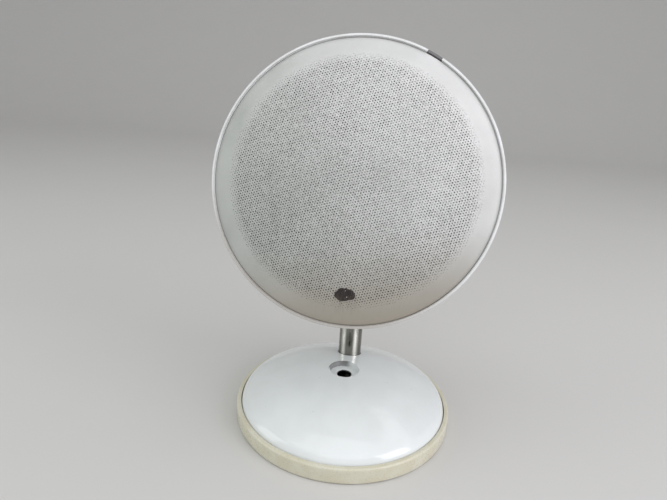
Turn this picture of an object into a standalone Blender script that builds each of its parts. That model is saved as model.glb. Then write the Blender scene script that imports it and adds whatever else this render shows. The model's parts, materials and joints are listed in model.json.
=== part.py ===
"""Smart speaker: a round head with a domed grille, tilted on a steel stem over a domed base.

Dimensions are millimetres and are turned into metres where the meshes are made. The origin is
the centre of the base on the table, +Z is up and the speaker faces -Y. Everything in the head is
laid out in the head's own frame: its origin is the centre of the front rim, +X is the world's
+X, +Y runs up the face and +Z comes straight out of the grille.
"""

import math

import bmesh
import bpy
from mathutils import Matrix, Vector

MM = 0.001
GAP = 0.3                   # clearance between pieces that touch
OVERCUT = 2.0               # how far a cutter runs past the wall it cuts
FINE, MEDIUM, COARSE = 36, 20, 12    # sides of large, middling and small turned pieces
SMALL = 8                   # sides of screws and holes

# Head
HEAD_RADIUS = 85.0
HEAD_CENTRE = (0.0, -27.0, 172.0)    # centre of the front rim, world
HEAD_TILT = 17.0            # degrees the face leans back at rest
SHELL_WALL = 3.0
SHELL_SIDE_END = -14.0      # where the straight side turns into the rear curve
SHELL_REAR = -56.0          # outside of the flat rear
SHELL_REAR_RADIUS = 38.0
SHELL_RIM = -7.0
SHELL_LEDGE = -11.6
SHELL_LEDGE_RADIUS = 79.5
BAFFLE_FRONT, BAFFLE_BACK = -5.0, -9.0
BAFFLE_RADIUS = 81.6
BAFFLE_SCREW_CIRCLE = 75.0
BAFFLE_SCREWS = 6

# Front
TRIM_LIP = 1.45             # width of the bright lip round the grille
TRIM_FRONT = 1.0
TRIM_SEAT_RADIUS = 79.5
PRY_SLOT_ANGLE = 27.5       # degrees clockwise from the top
PRY_SLOT = (9.5, 4.0, 2.6)  # length, radial depth, depth below the lip
GRILLE_RADIUS = 83.2
GRILLE_RISE = 8.2
GRILLE_CROWN = 411.0
GRILLE_EDGE = 2.5
GRILLE_SHEET = 1.0
GRILLE_BACK = -2.9
ADHESIVE_PLACE = (1.8, -65.0)       # across and up the face
ADHESIVE_SIZE = (12.3, 8.4)
ADHESIVE_THICK = 0.6

# Base
FOOT_RADIUS = 75.5
FOOT_HEIGHT = 11.0
DOME_RADIUS = 72.2
DOME_APEX = 32.5
DOME_CROWN = 150.0
DOME_EDGE = 9.0
DOME_WALL = 2.5
DOME_RIM = 8.3
RECESS_RADIUS, RECESS_DEPTH = 10.5, 4.0
FIXING_BORE = 5.0
PLATE_RADIUS, PLATE_BOTTOM, PLATE_TOP = 69.7, 1.0, 5.0
PLATE_FIXING_HOLE = 4.0
PLATE_EDGE = 0.5
BASE_SCREW_CIRCLE = 52.0
BASE_SCREWS = 4
BASE_POST_RADIUS, BASE_POST_TOP = 4.5, 20.8
BASE_PILOT_RADIUS, BASE_PILOT_TOP = 1.6, 16.0
RING_SEAT_RADIUS = 66.0     # inner edge of the foot ring's ledge, between plate and dome
STEM_FOOT_RADIUS, STEM_PLUG_RADIUS = 17.0, 6.7
STEM_FOOT_BORE = 3.4
STEM_FOOT_TOP = 32.0

# Stem, swivel and tilt
STEM_Y = 30.0
STEM_RADIUS, STEM_BORE = 8.5, 7.0
STEM_BOTTOM, STEM_TOP = 8.6, 108.0
PIVOT_Z = 128.0
SPIGOT_RADIUS = 5.75
SPIGOT_LENGTH, BUSH_LENGTH = 22.0, 20.0
BUSH_FLANGE = 1.1           # top of the bush's flange above the tube
COLLAR_HEIGHT = 3.6
STOP_Z = 98.0
STOP_FLAT = 2.9             # distance of the spigot's stop flat from its axis
STOP_TIP = 5.0              # distance of the stop screw's tip from that axis
TANG_HALF = 4.0             # half the thickness of the neck's tang
TANG_RADIUS = 8.0
STALK_HALF = 6.0            # half the width of the stalk below the tang's eye
WASHER_RADIUS = 7.0
EAR_INNER, EAR_OUTER, EAR_RADIUS = 5.1, 9.1, 8.5
PIVOT_PIN = 2.5
BRACKET_HALF_WIDTH = 20.0
BRACKET_LOW, BRACKET_HIGH = -38.0, -5.0
BRACKET_THICK = 2.0
BRACKET_SCREW_X, BRACKET_SCREW_Y = 15.5, (-10.5, -32.5)

# Woofer and tweeter
WOOFER_Y = -16.0
WOOFER_OPENING = 46.6
WOOFER_FLANGE = 52.0
WOOFER_SCREW_CIRCLE = 49.7
CONE_OUTER, CONE_NECK = 37.0, 13.4
CONE_EDGE_Z, CONE_NECK_Z, CONE_THICK = -4.0, -16.5, 0.9
ROLL_RADIUS, ROLL_CENTRE, ROLL_THICK = 3.1, (41.0, -3.3), 0.5
TWEETER_Y = 55.0
TWEETER_OPENING = 13.8

# Electronics and rear panel
BOARD_X, BOARD_Y = (-30.0, 30.0), (18.5, 62.0)
BOARD_BACK, BOARD_FRONT = -38.0, -36.4
BOARD_POSTS = ((-26.0, 22.0), (26.0, 22.0), (-26.0, 56.0), (26.0, 56.0))
JACK_PLACE = (14.0, 24.0)
BUTTON_PLACE = (-14.0, 24.0)
MICROPHONE_X, MICROPHONE_Y = 32.0, 52.0


# ---------------------------------------------------------------- scene, materials and frames

def clear_scene():
    for obj in list(bpy.data.objects):
        bpy.data.objects.remove(obj, do_unlink=True)


def new_collection(name):
    collection = bpy.data.collections.new(name)
    bpy.context.scene.collection.children.link(collection)
    return collection


clear_scene()
PARTS = new_collection("smart_speaker")
CUTTERS = new_collection("cutters")
CUTTERS.hide_render = True


def material(name, colour, roughness, metallic=0.0):
    found = bpy.data.materials.get(name)
    if found:
        return found
    made = bpy.data.materials.new(name)
    made.use_nodes = True
    shader = made.node_tree.nodes["Principled BSDF"]
    shader.inputs["Base Color"].default_value = (*colour, 1.0)
    shader.inputs["Roughness"].default_value = roughness
    shader.inputs["Metallic"].default_value = metallic
    made.diffuse_color = (*colour, 1.0)
    return made


def frame_empty(name, place, tilt_degrees=0.0, parent=None):
    """An empty that other pieces are placed from; place is in its parent's frame."""
    empty = bpy.data.objects.new(name, None)
    PARTS.objects.link(empty)
    empty.parent = parent
    empty.location = Vector(place) * MM
    empty.rotation_euler = (math.radians(tilt_degrees), 0.0, 0.0)
    return empty


SWIVEL_AXIS = frame_empty("swivel_axis", (0.0, STEM_Y, STEM_TOP))
TILT_AXIS = frame_empty("tilt_axis", (0.0, 0.0, PIVOT_Z - STEM_TOP), 90.0 - HEAD_TILT, SWIVEL_AXIS)
PIVOT_IN_HEAD = Matrix.Rotation(math.radians(HEAD_TILT - 90.0), 3, "X") @ (
    Vector((0.0, STEM_Y, PIVOT_Z)) - Vector(HEAD_CENTRE))
HEAD = frame_empty("head_frame", -PIVOT_IN_HEAD, 0.0, TILT_AXIS)
WOOFER = frame_empty("woofer_axis", (0.0, WOOFER_Y, 0.0), 0.0, HEAD)
TWEETER = frame_empty("tweeter_axis", (0.0, TWEETER_Y, 0.0), 0.0, HEAD)


# ---------------------------------------------------------------- modelling tools

def place(obj, coat, parent, location, rotation, cutter=False):
    (CUTTERS if cutter else PARTS).objects.link(obj)
    obj.parent = parent
    obj.location = Vector(location) * MM
    obj.rotation_euler = [math.radians(angle) for angle in rotation]
    if cutter:
        obj.hide_render = True
        obj.display_type = "WIRE"
    elif coat:
        obj.data.materials.append(coat)
    return obj


def smooth(obj, angle=35.0):
    obj.data.shade_smooth()
    obj.data.set_sharp_from_angle(angle=math.radians(angle))


def from_bmesh(name, shape):
    mesh = bpy.data.meshes.new(name)
    shape.to_mesh(mesh)
    shape.free()
    return bpy.data.objects.new(name, mesh)


def turned(name, profile, coat, parent=None, location=(0, 0, 0), rotation=(0, 0, 0),
           steps=MEDIUM, cutter=False):
    """A turned piece. The profile's outer side runs down; ends on the axis leave it open."""
    on_axis = profile[0][0] == 0.0
    mesh = bpy.data.meshes.new(name)
    points = [(radius * MM, 0.0, height * MM) for radius, height in profile]
    edges = [(i, i + 1) for i in range(len(points) - 1)]
    if not on_axis:
        edges.append((len(points) - 1, 0))
    mesh.from_pydata(points, edges, [])
    obj = bpy.data.objects.new(name, mesh)
    place(obj, coat, parent, location, rotation, cutter)
    screw = obj.modifiers.new("Screw", "SCREW")
    screw.steps = screw.render_steps = steps
    screw.use_merge_vertices = True
    screw.merge_threshold = 0.00001
    screw.use_smooth_shade = True
    return obj


def cylinders(name, rods, parent=None, sides=SMALL):
    """A cutter of several plain rods along the parent's Z: (x, y, radius, low, high)."""
    shape = bmesh.new()
    for x, y, radius, low, high in rods:
        spot = Vector((x, y, (low + high) / 2)) * MM
        matrix = Matrix.Translation(spot)
        bmesh.ops.create_cone(shape, cap_ends=True, segments=sides, radius1=radius * MM,
                              radius2=radius * MM, depth=(high - low) * MM, matrix=matrix)
    return place(from_bmesh(name, shape), None, parent, (0, 0, 0), (0, 0, 0), cutter=True)


def boxes(name, blocks, parent=None, cutter=True, coat=None):
    """Several boxes as one mesh: (low corner, high corner)."""
    shape = bmesh.new()
    for low, high in blocks:
        low, high = Vector(low) * MM, Vector(high) * MM
        matrix = Matrix.Translation((low + high) / 2) @ Matrix.Diagonal((*(high - low), 1.0))
        bmesh.ops.create_cube(shape, size=1.0, matrix=matrix)
    return place(from_bmesh(name, shape), coat, parent, (0, 0, 0), (0, 0, 0), cutter)


def boolean(obj, other, operation="DIFFERENCE"):
    modifier = obj.modifiers.new(operation.title(), "BOOLEAN")
    modifier.operation = operation
    modifier.solver = "EXACT"
    modifier.object = other
    return obj


def bevel(obj, width, segments=2):
    modifier = obj.modifiers.new("Bevel", "BEVEL")
    modifier.width = width * MM
    modifier.segments = segments
    modifier.limit_method = "ANGLE"
    return obj


def arc(centre, radius, start, end, points, squash=1.0):
    """Points on an arc in the profile plane; squash scales it along the axis."""
    found = []
    for i in range(points):
        angle = math.radians(start + (end - start) * i / (points - 1))
        found.append((centre[0] + radius * math.cos(angle),
                      centre[1] + radius * squash * math.sin(angle)))
    return found


def crowned(apex, crown, edge, outer, inner_radius, points, edge_points=4):
    """A crowned surface from inner_radius out to a rolled edge: a large arc and a small one."""
    crown_centre = (0.0, apex - crown)
    edge_centre = (outer - edge,
                   crown_centre[1] + math.sqrt((crown - edge) ** 2 - (outer - edge) ** 2))
    meet = math.degrees(math.acos((outer - edge) / (crown - edge)))
    start = math.degrees(math.acos(inner_radius / crown))
    big = arc(crown_centre, crown, start, meet, points)
    small = arc(edge_centre, edge, meet, 0.0, edge_points)
    if inner_radius == 0.0:
        big[0] = (0.0, apex)
    return big + small[1:]


def screw_piece(name, place_xy, head, head_radius, shank_radius, tip, coat, parent):
    """A pan-head screw along the parent's Z; head is (outer, seat) and tip its other end."""
    outer, seat = head
    profile = [(0.0, outer), (head_radius * 0.8, outer), (head_radius, (outer + seat) / 2),
               (head_radius, seat), (shank_radius, seat), (shank_radius, tip), (0.0, tip)]
    if outer < tip:
        profile.reverse()
    spot = (place_xy[0], place_xy[1], 0.0)
    return turned(name, profile, coat, parent, spot, steps=SMALL)


def ring_places(count, radius, first=0.0, centre=(0.0, 0.0)):
    spots = []
    for i in range(count):
        angle = math.radians(first + 360.0 * i / count)
        spots.append((centre[0] + radius * math.cos(angle), centre[1] + radius * math.sin(angle)))
    return spots


# ---------------------------------------------------------------- finishes

GLOSS_WHITE = material("gloss_white", (0.80, 0.82, 0.82), 0.12)
CREAM = material("aged_cream", (0.70, 0.66, 0.50), 0.35)
SHELL_WHITE = material("shell_white", (0.74, 0.75, 0.74), 0.35)
TRIM_WHITE = material("trim_white", (0.82, 0.83, 0.83), 0.25)
GRILLE_GREY = material("grille_grey", (0.60, 0.62, 0.60), 0.45, 0.2)
STEM_STEEL = material("stem_steel", (0.58, 0.56, 0.52), 0.25, 1.0)
ZINC = material("zinc_steel", (0.50, 0.51, 0.53), 0.40, 1.0)
BALLAST = material("ballast_steel", (0.10, 0.10, 0.11), 0.60, 0.6)
BLACK_STEEL = material("black_steel", (0.03, 0.03, 0.03), 0.45, 0.6)
BLACK_PLASTIC = material("black_plastic", (0.03, 0.03, 0.035), 0.55)
GLUE = material("old_adhesive", (0.035, 0.028, 0.022), 0.50)
PAPER = material("cone_paper", (0.06, 0.06, 0.065), 0.80)
RUBBER = material("black_rubber", (0.02, 0.02, 0.02), 0.70)
FERRITE = material("ferrite", (0.07, 0.07, 0.075), 0.65)
SPIDER_CLOTH = material("spider_cloth", (0.55, 0.40, 0.18), 0.85)
COPPER = material("copper_wire", (0.72, 0.36, 0.18), 0.30, 1.0)
BOARD_GREEN = material("board_green", (0.02, 0.16, 0.07), 0.45)
NYLON = material("white_nylon", (0.75, 0.74, 0.70), 0.50)
SILK = material("tweeter_silk", (0.04, 0.04, 0.045), 0.75)
ALUMINIUM = material("aluminium", (0.72, 0.73, 0.74), 0.35, 1.0)


# ---------------------------------------------------------------- base

def build_foot_ring():
    inner_lip = DOME_RADIUS + GAP
    seat = DOME_RIM - GAP
    profile = [(inner_lip, FOOT_HEIGHT - 0.6), (inner_lip + 0.5, FOOT_HEIGHT)]
    profile += arc((FOOT_RADIUS - 1.6, FOOT_HEIGHT - 1.6), 1.6, 90.0, 0.0, 3)
    profile += [(FOOT_RADIUS, 1.2), (FOOT_RADIUS - 0.9, 0.0)]
    profile += [(PLATE_RADIUS + 0.9, 0.0), (PLATE_RADIUS + GAP, 0.6)]
    profile += [(PLATE_RADIUS + GAP, PLATE_TOP + GAP), (RING_SEAT_RADIUS, PLATE_TOP + GAP)]
    profile += [(RING_SEAT_RADIUS, seat), (inner_lip, seat)]
    return turned("foot_ring", profile, CREAM, steps=FINE)


def build_base_dome():
    mouth_z = DOME_APEX - DOME_CROWN + math.sqrt(DOME_CROWN ** 2 - (RECESS_RADIUS + 0.8) ** 2)
    floor = mouth_z - RECESS_DEPTH
    profile = crowned(DOME_APEX, DOME_CROWN, DOME_EDGE, DOME_RADIUS, RECESS_RADIUS + 0.8, 5)
    profile += [(DOME_RADIUS, DOME_RIM), (DOME_RADIUS - DOME_WALL, DOME_RIM)]
    inside = crowned(DOME_APEX - DOME_WALL, DOME_CROWN - DOME_WALL, DOME_EDGE - DOME_WALL,
                     DOME_RADIUS - DOME_WALL, RECESS_RADIUS + DOME_WALL, 4)
    profile += list(reversed(inside))
    profile += [(RECESS_RADIUS + DOME_WALL, floor - DOME_WALL), (FIXING_BORE, floor - DOME_WALL)]
    profile += [(FIXING_BORE, floor), (RECESS_RADIUS, floor), (RECESS_RADIUS, mouth_z - 0.8)]
    dome = turned("base_dome", profile, GLOSS_WHITE, steps=FINE)
    spots = ring_places(BASE_SCREWS, BASE_SCREW_CIRCLE, 45.0)
    posts = [(x, y, BASE_POST_RADIUS, PLATE_TOP + GAP, BASE_POST_TOP) for x, y in spots]
    boolean(dome, cylinders("dome_posts", posts), "UNION")
    holes = [(x, y, BASE_PILOT_RADIUS, PLATE_TOP - OVERCUT, BASE_PILOT_TOP) for x, y in spots]
    boolean(dome, cylinders("dome_pilot_holes", holes))
    stem_hole = [(0.0, STEM_Y, STEM_RADIUS + 0.4, 15.0, DOME_APEX + OVERCUT)]
    boolean(dome, cylinders("dome_stem_hole", stem_hole, sides=MEDIUM))
    smooth_after_booleans(dome)
    return dome


def smooth_after_booleans(obj, angle=35.0):
    """Sharp edges stay crisp on a turned piece that Booleans have cut."""
    modifier = obj.modifiers.new("Weld", "WELD")
    modifier.merge_threshold = 0.00001
    smooth(obj, angle)


def build_base_plate():
    profile = [(PLATE_FIXING_HOLE, PLATE_TOP), (PLATE_RADIUS - PLATE_EDGE, PLATE_TOP),
               (PLATE_RADIUS, PLATE_TOP - PLATE_EDGE), (PLATE_RADIUS, PLATE_BOTTOM),
               (PLATE_FIXING_HOLE, PLATE_BOTTOM)]
    plate = turned("base_plate", profile, BALLAST, steps=FINE)
    spots = ring_places(BASE_SCREWS, BASE_SCREW_CIRCLE, 45.0)
    through = [(x, y, 1.8, PLATE_BOTTOM - OVERCUT, PLATE_TOP + OVERCUT) for x, y in spots]
    through += [(0.0, STEM_Y, STEM_FOOT_BORE, PLATE_BOTTOM - OVERCUT, PLATE_TOP + OVERCUT)]
    sunk = [(x, y, 3.6, PLATE_BOTTOM - OVERCUT, PLATE_BOTTOM + 2.0) for x, y in spots]
    sunk += [(0.0, STEM_Y, 6.6, PLATE_BOTTOM - OVERCUT, PLATE_BOTTOM + 2.4)]
    boolean(plate, cylinders("plate_holes", through))
    boolean(plate, cylinders("plate_counterbores", sunk))
    for i, spot in enumerate(spots, 1):
        screw_piece(f"base_screw_{i}", spot, (PLATE_BOTTOM + 0.2, PLATE_BOTTOM + 1.7), 3.0, 1.3,
                    15.0, ZINC, None)
    return plate


def build_stem():
    foot = [(0.0, STEM_FOOT_TOP), (STEM_PLUG_RADIUS, STEM_FOOT_TOP),
            (STEM_PLUG_RADIUS, STEM_BOTTOM - GAP), (STEM_FOOT_RADIUS, STEM_BOTTOM - GAP),
            (STEM_FOOT_RADIUS, PLATE_TOP + GAP), (STEM_FOOT_BORE, PLATE_TOP + GAP),
            (STEM_FOOT_BORE, STEM_FOOT_TOP - 3.0), (0.0, STEM_FOOT_TOP - 3.0)]
    turned("stem_foot", foot, ZINC, location=(0, STEM_Y, 0), steps=COARSE)
    screw_piece("stem_bolt", (0.0, STEM_Y), (PLATE_BOTTOM + 0.2, PLATE_BOTTOM + 2.1), 6.0, 3.0,
                28.0, ZINC, None)
    tube = [(STEM_BORE, STEM_TOP), (STEM_RADIUS - 0.4, STEM_TOP), (STEM_RADIUS, STEM_TOP - 0.4),
            (STEM_RADIUS, STEM_BOTTOM), (STEM_BORE, STEM_BOTTOM)]
    stem = turned("stem_tube", tube, STEM_STEEL, location=(0, STEM_Y, 0), steps=MEDIUM)
    outer, inner = STEM_BORE - GAP, SPIGOT_RADIUS + GAP
    flange = STEM_TOP + BUSH_FLANGE
    bush = [(inner, flange), (STEM_RADIUS - 0.2, flange),
            (STEM_RADIUS - 0.2, STEM_TOP + GAP), (outer, STEM_TOP + GAP),
            (outer, STEM_TOP - BUSH_LENGTH), (inner, STEM_TOP - BUSH_LENGTH)]
    sleeve = turned("swivel_bush", bush, NYLON, location=(0, STEM_Y, 0), steps=COARSE)
    for target, radius, label in ((stem, 1.7, "stem_stop_hole"), (sleeve, 1.4, "bush_stop_hole")):
        hole = turned(label, [(0.0, 12.0), (radius, 12.0), (radius, 2.0), (0.0, 2.0)], None,
                      location=(0, STEM_Y, STOP_Z), rotation=(-90, 0, 0), steps=SMALL, cutter=True)
        boolean(target, hole)
    stop = [(0.0, STEM_RADIUS - 0.2), (1.4, STEM_RADIUS - 0.2), (1.4, 7.1), (1.0, 7.1),
            (1.0, STOP_TIP), (0.0, STOP_TIP)]
    turned("swivel_stop_screw", stop, BLACK_STEEL, location=(0, STEM_Y, STOP_Z),
           rotation=(-90, 0, 0), steps=SMALL)


# ---------------------------------------------------------------- neck and tilt joint

def build_neck():
    collar = BUSH_FLANGE + GAP
    top = collar + COLLAR_HEIGHT
    profile = [(0.0, top), (STEM_RADIUS - 1.0, top), (STEM_RADIUS, top - 1.0),
               (STEM_RADIUS, collar), (SPIGOT_RADIUS, collar),
               (SPIGOT_RADIUS, -SPIGOT_LENGTH), (0.0, -SPIGOT_LENGTH)]
    neck = turned("swivel_neck", profile, STEM_STEEL, SWIVEL_AXIS, steps=MEDIUM)
    pivot = PIVOT_Z - STEM_TOP
    stalk = boxes("neck_stalk", [((-TANG_HALF, -STALK_HALF, top - 1.0),
                                  (TANG_HALF, STALK_HALF, pivot))], SWIVEL_AXIS)
    boolean(neck, stalk, "UNION")
    eye = [(0.0, TANG_HALF), (TANG_RADIUS, TANG_HALF), (TANG_RADIUS, -TANG_HALF),
           (0.0, -TANG_HALF)]
    boolean(neck, turned("neck_eye", eye, None, SWIVEL_AXIS, (0, 0, pivot), (0, 90, 0),
                         steps=MEDIUM, cutter=True), "UNION")
    bore = PIVOT_PIN + GAP
    hole = [(0.0, 6.0), (bore, 6.0), (bore, -6.0), (0.0, -6.0)]
    boolean(neck, turned("neck_bore", hole, None, SWIVEL_AXIS, (0, 0, pivot), (0, 90, 0),
                         steps=COARSE, cutter=True))
    stop = STOP_Z - STEM_TOP
    flat = boxes("spigot_flat", [((-8.0, STOP_FLAT, stop - 2.5), (8.0, 8.0, stop + 2.5))],
                 SWIVEL_AXIS)
    boolean(neck, flat)
    for side, label in ((-1.0, "left"), (1.0, "right")):
        near, far = TANG_HALF + 0.25, EAR_INNER - 0.25
        washer = [(PIVOT_PIN + GAP, far), (WASHER_RADIUS, far), (WASHER_RADIUS, near),
                  (PIVOT_PIN + GAP, near)]
        turned(f"friction_washer_{label}", washer, NYLON, SWIVEL_AXIS, (0, 0, pivot),
               (0, 90 * side, 0), steps=COARSE)


def build_tilt_bracket():
    rear = SHELL_REAR - GAP
    back = rear - BRACKET_THICK
    up, out = PIVOT_IN_HEAD.y, PIVOT_IN_HEAD.z
    bracket = boxes("tilt_bracket", [((-BRACKET_HALF_WIDTH, BRACKET_LOW, back),
                                      (BRACKET_HALF_WIDTH, BRACKET_HIGH, rear))],
                    HEAD, cutter=False, coat=BLACK_STEEL)
    bevel(bracket, 0.4, 1)
    thick = EAR_OUTER - EAR_INNER
    for side, label in ((-1, "left"), (1, "right")):
        middle = side * (EAR_INNER + EAR_OUTER) / 2
        lug = boxes(f"ear_{label}", [((middle - thick / 2, up - EAR_RADIUS, out),
                                      (middle + thick / 2, up + EAR_RADIUS, back + 1.0))], HEAD)
        boolean(bracket, lug, "UNION")
        end = [(0.0, thick / 2), (EAR_RADIUS, thick / 2), (EAR_RADIUS, -thick / 2),
               (0.0, -thick / 2)]
        boolean(bracket, turned(f"ear_end_{label}", end, None, HEAD, (middle, up, out),
                                (0, 90, 0), steps=MEDIUM, cutter=True), "UNION")
    bore = PIVOT_PIN + GAP
    hole = [(0.0, 12.0), (bore, 12.0), (bore, -12.0), (0.0, -12.0)]
    boolean(bracket, turned("bracket_bore", hole, None, HEAD, (0, up, out), (0, 90, 0),
                            steps=COARSE, cutter=True))
    spots = bracket_screw_spots()
    holes = [(x, y, 1.8, back - OVERCUT, rear + OVERCUT) for x, y in spots]
    boolean(bracket, cylinders("bracket_screw_holes", holes, HEAD))
    for i, spot in enumerate(spots, 1):
        screw_piece(f"bracket_screw_{i}", spot, (back - 1.9, back - GAP), 2.9, 1.4, -51.2,
                    ZINC, HEAD)

    reach = EAR_OUTER + GAP
    bolt = [(0.0, reach + 3.6), (3.9, reach + 3.6), (4.6, reach + 3.0), (4.6, reach),
            (PIVOT_PIN, reach), (PIVOT_PIN, -reach - 4.4), (0.0, -reach - 4.4)]
    turned("pivot_bolt", bolt, ZINC, TILT_AXIS, rotation=(0, 90, 0), steps=COARSE)
    nut_bore = (PIVOT_PIN + GAP) / math.cos(math.radians(30.0))    # a six-sided hole's corners
    nut = [(nut_bore, -reach), (4.9, -reach), (4.9, -reach - 3.6), (nut_bore, -reach - 3.6)]
    turned("pivot_nut", nut, ZINC, TILT_AXIS, rotation=(0, 90, 0), steps=6)


def bracket_screw_spots():
    return [(side * BRACKET_SCREW_X, y) for y in BRACKET_SCREW_Y for side in (-1, 1)]


# ---------------------------------------------------------------- head casing

def build_rear_shell():
    curve_width = HEAD_RADIUS - SHELL_REAR_RADIUS
    curve_depth = SHELL_SIDE_END - SHELL_REAR
    outer = arc((SHELL_REAR_RADIUS, SHELL_SIDE_END), curve_width, 0.0, -90.0, 8,
                curve_depth / curve_width)
    inner_width = SHELL_LEDGE_RADIUS - SHELL_REAR_RADIUS
    inner_depth = curve_depth - SHELL_WALL
    inner = arc((SHELL_REAR_RADIUS, SHELL_SIDE_END), inner_width, -90.0, 0.0, 5,
                inner_depth / inner_width)
    lip = HEAD_RADIUS - SHELL_WALL
    profile = [(0.0, SHELL_REAR + SHELL_WALL)] + inner
    profile += [(SHELL_LEDGE_RADIUS, SHELL_LEDGE), (lip, SHELL_LEDGE), (lip, SHELL_RIM)]
    profile += [(HEAD_RADIUS, SHELL_RIM)] + outer + [(0.0, SHELL_REAR)]
    shell = turned("rear_shell", profile, SHELL_WHITE, HEAD, steps=FINE)

    baffle_spots = ring_places(BAFFLE_SCREWS, BAFFLE_SCREW_CIRCLE)
    floor = SHELL_REAR + SHELL_WALL
    posts = [(x, y, 3.8, -30.0, BAFFLE_BACK - GAP) for x, y in baffle_spots]
    posts += [(x, y, 4.0, floor - 1.0, -49.2) for x, y in bracket_screw_spots()]
    for x, y in BOARD_POSTS:
        end = floor - 1.0 if math.hypot(x, y) < SHELL_REAR_RADIUS else -45.0
        posts.append((x, y, 2.5, end, BOARD_BACK - GAP))
    boolean(shell, cylinders("shell_posts", posts, HEAD), "UNION")

    holes = [(x, y, 1.6, -24.0, BAFFLE_BACK + OVERCUT) for x, y in baffle_spots]
    holes += [(x, y, 1.7, SHELL_REAR - OVERCUT, -50.8) for x, y in bracket_screw_spots()]
    holes += [(*JACK_PLACE, 5.0, SHELL_REAR - OVERCUT, floor + OVERCUT)]
    holes += [(*BUTTON_PLACE, 4.4, SHELL_REAR - OVERCUT, floor + OVERCUT)]
    boolean(shell, cylinders("shell_holes", holes, HEAD))
    smooth_after_booleans(shell)

    seal = [(SHELL_LEDGE_RADIUS + GAP, BAFFLE_BACK - GAP), (lip - GAP, BAFFLE_BACK - GAP),
            (lip - GAP, SHELL_LEDGE + GAP), (SHELL_LEDGE_RADIUS + GAP, SHELL_LEDGE + GAP)]
    turned("shell_gasket", seal, RUBBER, HEAD, steps=FINE)


def build_baffle():
    profile = [(0.0, BAFFLE_FRONT), (BAFFLE_RADIUS, BAFFLE_FRONT), (BAFFLE_RADIUS, BAFFLE_BACK),
               (0.0, BAFFLE_BACK)]
    baffle = turned("baffle", profile, BLACK_PLASTIC, HEAD, steps=FINE)
    past = (BAFFLE_BACK - OVERCUT, BAFFLE_FRONT + OVERCUT)
    large = [(0.0, WOOFER_Y, WOOFER_OPENING, *past), (0.0, TWEETER_Y, TWEETER_OPENING, *past)]
    boolean(baffle, cylinders("baffle_openings", large, HEAD, sides=MEDIUM))
    screw_spots = ring_places(BAFFLE_SCREWS, BAFFLE_SCREW_CIRCLE)
    holes = [(x, y, 1.8, *past) for x, y in screw_spots]
    holes += [(x, y, 1.5, *past) for x, y in woofer_screw_spots()]
    holes += [(side * MICROPHONE_X, MICROPHONE_Y, 0.8, *past) for side in (-1, 1)]
    boolean(baffle, cylinders("baffle_holes", holes, HEAD))
    for i, spot in enumerate(screw_spots, 1):
        screw_piece(f"baffle_screw_{i}", spot, (BAFFLE_FRONT + 2.0, BAFFLE_FRONT + GAP), 3.0, 1.3,
                    -22.5, ZINC, HEAD)


def build_trim_ring():
    inner = HEAD_RADIUS - TRIM_LIP
    seat = BAFFLE_FRONT + GAP
    profile = [(inner, TRIM_FRONT - 0.4), (inner + 0.4, TRIM_FRONT)]
    profile += arc((HEAD_RADIUS - 0.7, TRIM_FRONT - 0.7), 0.7, 90.0, 0.0, 3)
    profile += [(HEAD_RADIUS, SHELL_RIM + GAP), (BAFFLE_RADIUS + 0.4, SHELL_RIM + GAP)]
    profile += [(BAFFLE_RADIUS + 0.4, seat), (TRIM_SEAT_RADIUS, seat)]
    profile += [(TRIM_SEAT_RADIUS, seat + 1.5), (inner, seat + 1.5)]
    trim = turned("trim_ring", profile, TRIM_WHITE, HEAD, steps=FINE)
    length, depth, drop = PRY_SLOT
    slot = boxes("pry_slot", [((-length / 2, HEAD_RADIUS - TRIM_LIP - 1.0, TRIM_FRONT - drop),
                               (length / 2, HEAD_RADIUS - TRIM_LIP - 1.0 + depth, 4.0))], HEAD)
    slot.rotation_euler = (0.0, 0.0, math.radians(-PRY_SLOT_ANGLE))
    boolean(trim, slot)


def build_grille():
    outside = crowned(GRILLE_RISE, GRILLE_CROWN, GRILLE_EDGE, GRILLE_RADIUS, 0.0, 6)
    inside = crowned(GRILLE_RISE - GRILLE_SHEET, GRILLE_CROWN - GRILLE_SHEET,
                     GRILLE_EDGE - GRILLE_SHEET, GRILLE_RADIUS - GRILLE_SHEET, 0.0, 4, 3)
    profile = outside + [(GRILLE_RADIUS, GRILLE_BACK),
                         (GRILLE_RADIUS - GRILLE_SHEET, GRILLE_BACK)] + list(reversed(inside))
    turned("grille", profile, GRILLE_GREY, HEAD, steps=FINE)


def build_badge_adhesive():
    """A thin oval pad that lies on the grille's dome."""
    across, up = ADHESIVE_PLACE
    reach = math.hypot(across, up)
    height = GRILLE_RISE - GRILLE_CROWN + math.sqrt(GRILLE_CROWN ** 2 - reach ** 2)
    shape = bmesh.new()
    bmesh.ops.create_cone(shape, cap_ends=True, segments=COARSE, radius1=0.5, radius2=0.46,
                          depth=1.0)
    bmesh.ops.scale(shape, verts=shape.verts,
                    vec=(ADHESIVE_SIZE[0] * MM, ADHESIVE_SIZE[1] * MM, ADHESIVE_THICK * MM))
    pad = from_bmesh("badge_adhesive", shape)
    outward = Vector((across, up, height - GRILLE_RISE + GRILLE_CROWN)).normalized()
    spot = Vector((across, up, height)) + outward * (ADHESIVE_THICK / 2 + GAP)
    place(pad, GLUE, HEAD, spot, (0, 0, 0))
    pad.rotation_euler = outward.to_track_quat("Z", "Y").to_euler()


# ---------------------------------------------------------------- woofer

def woofer_screw_spots():
    return ring_places(4, WOOFER_SCREW_CIRCLE, 45.0, (0.0, WOOFER_Y))


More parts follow.
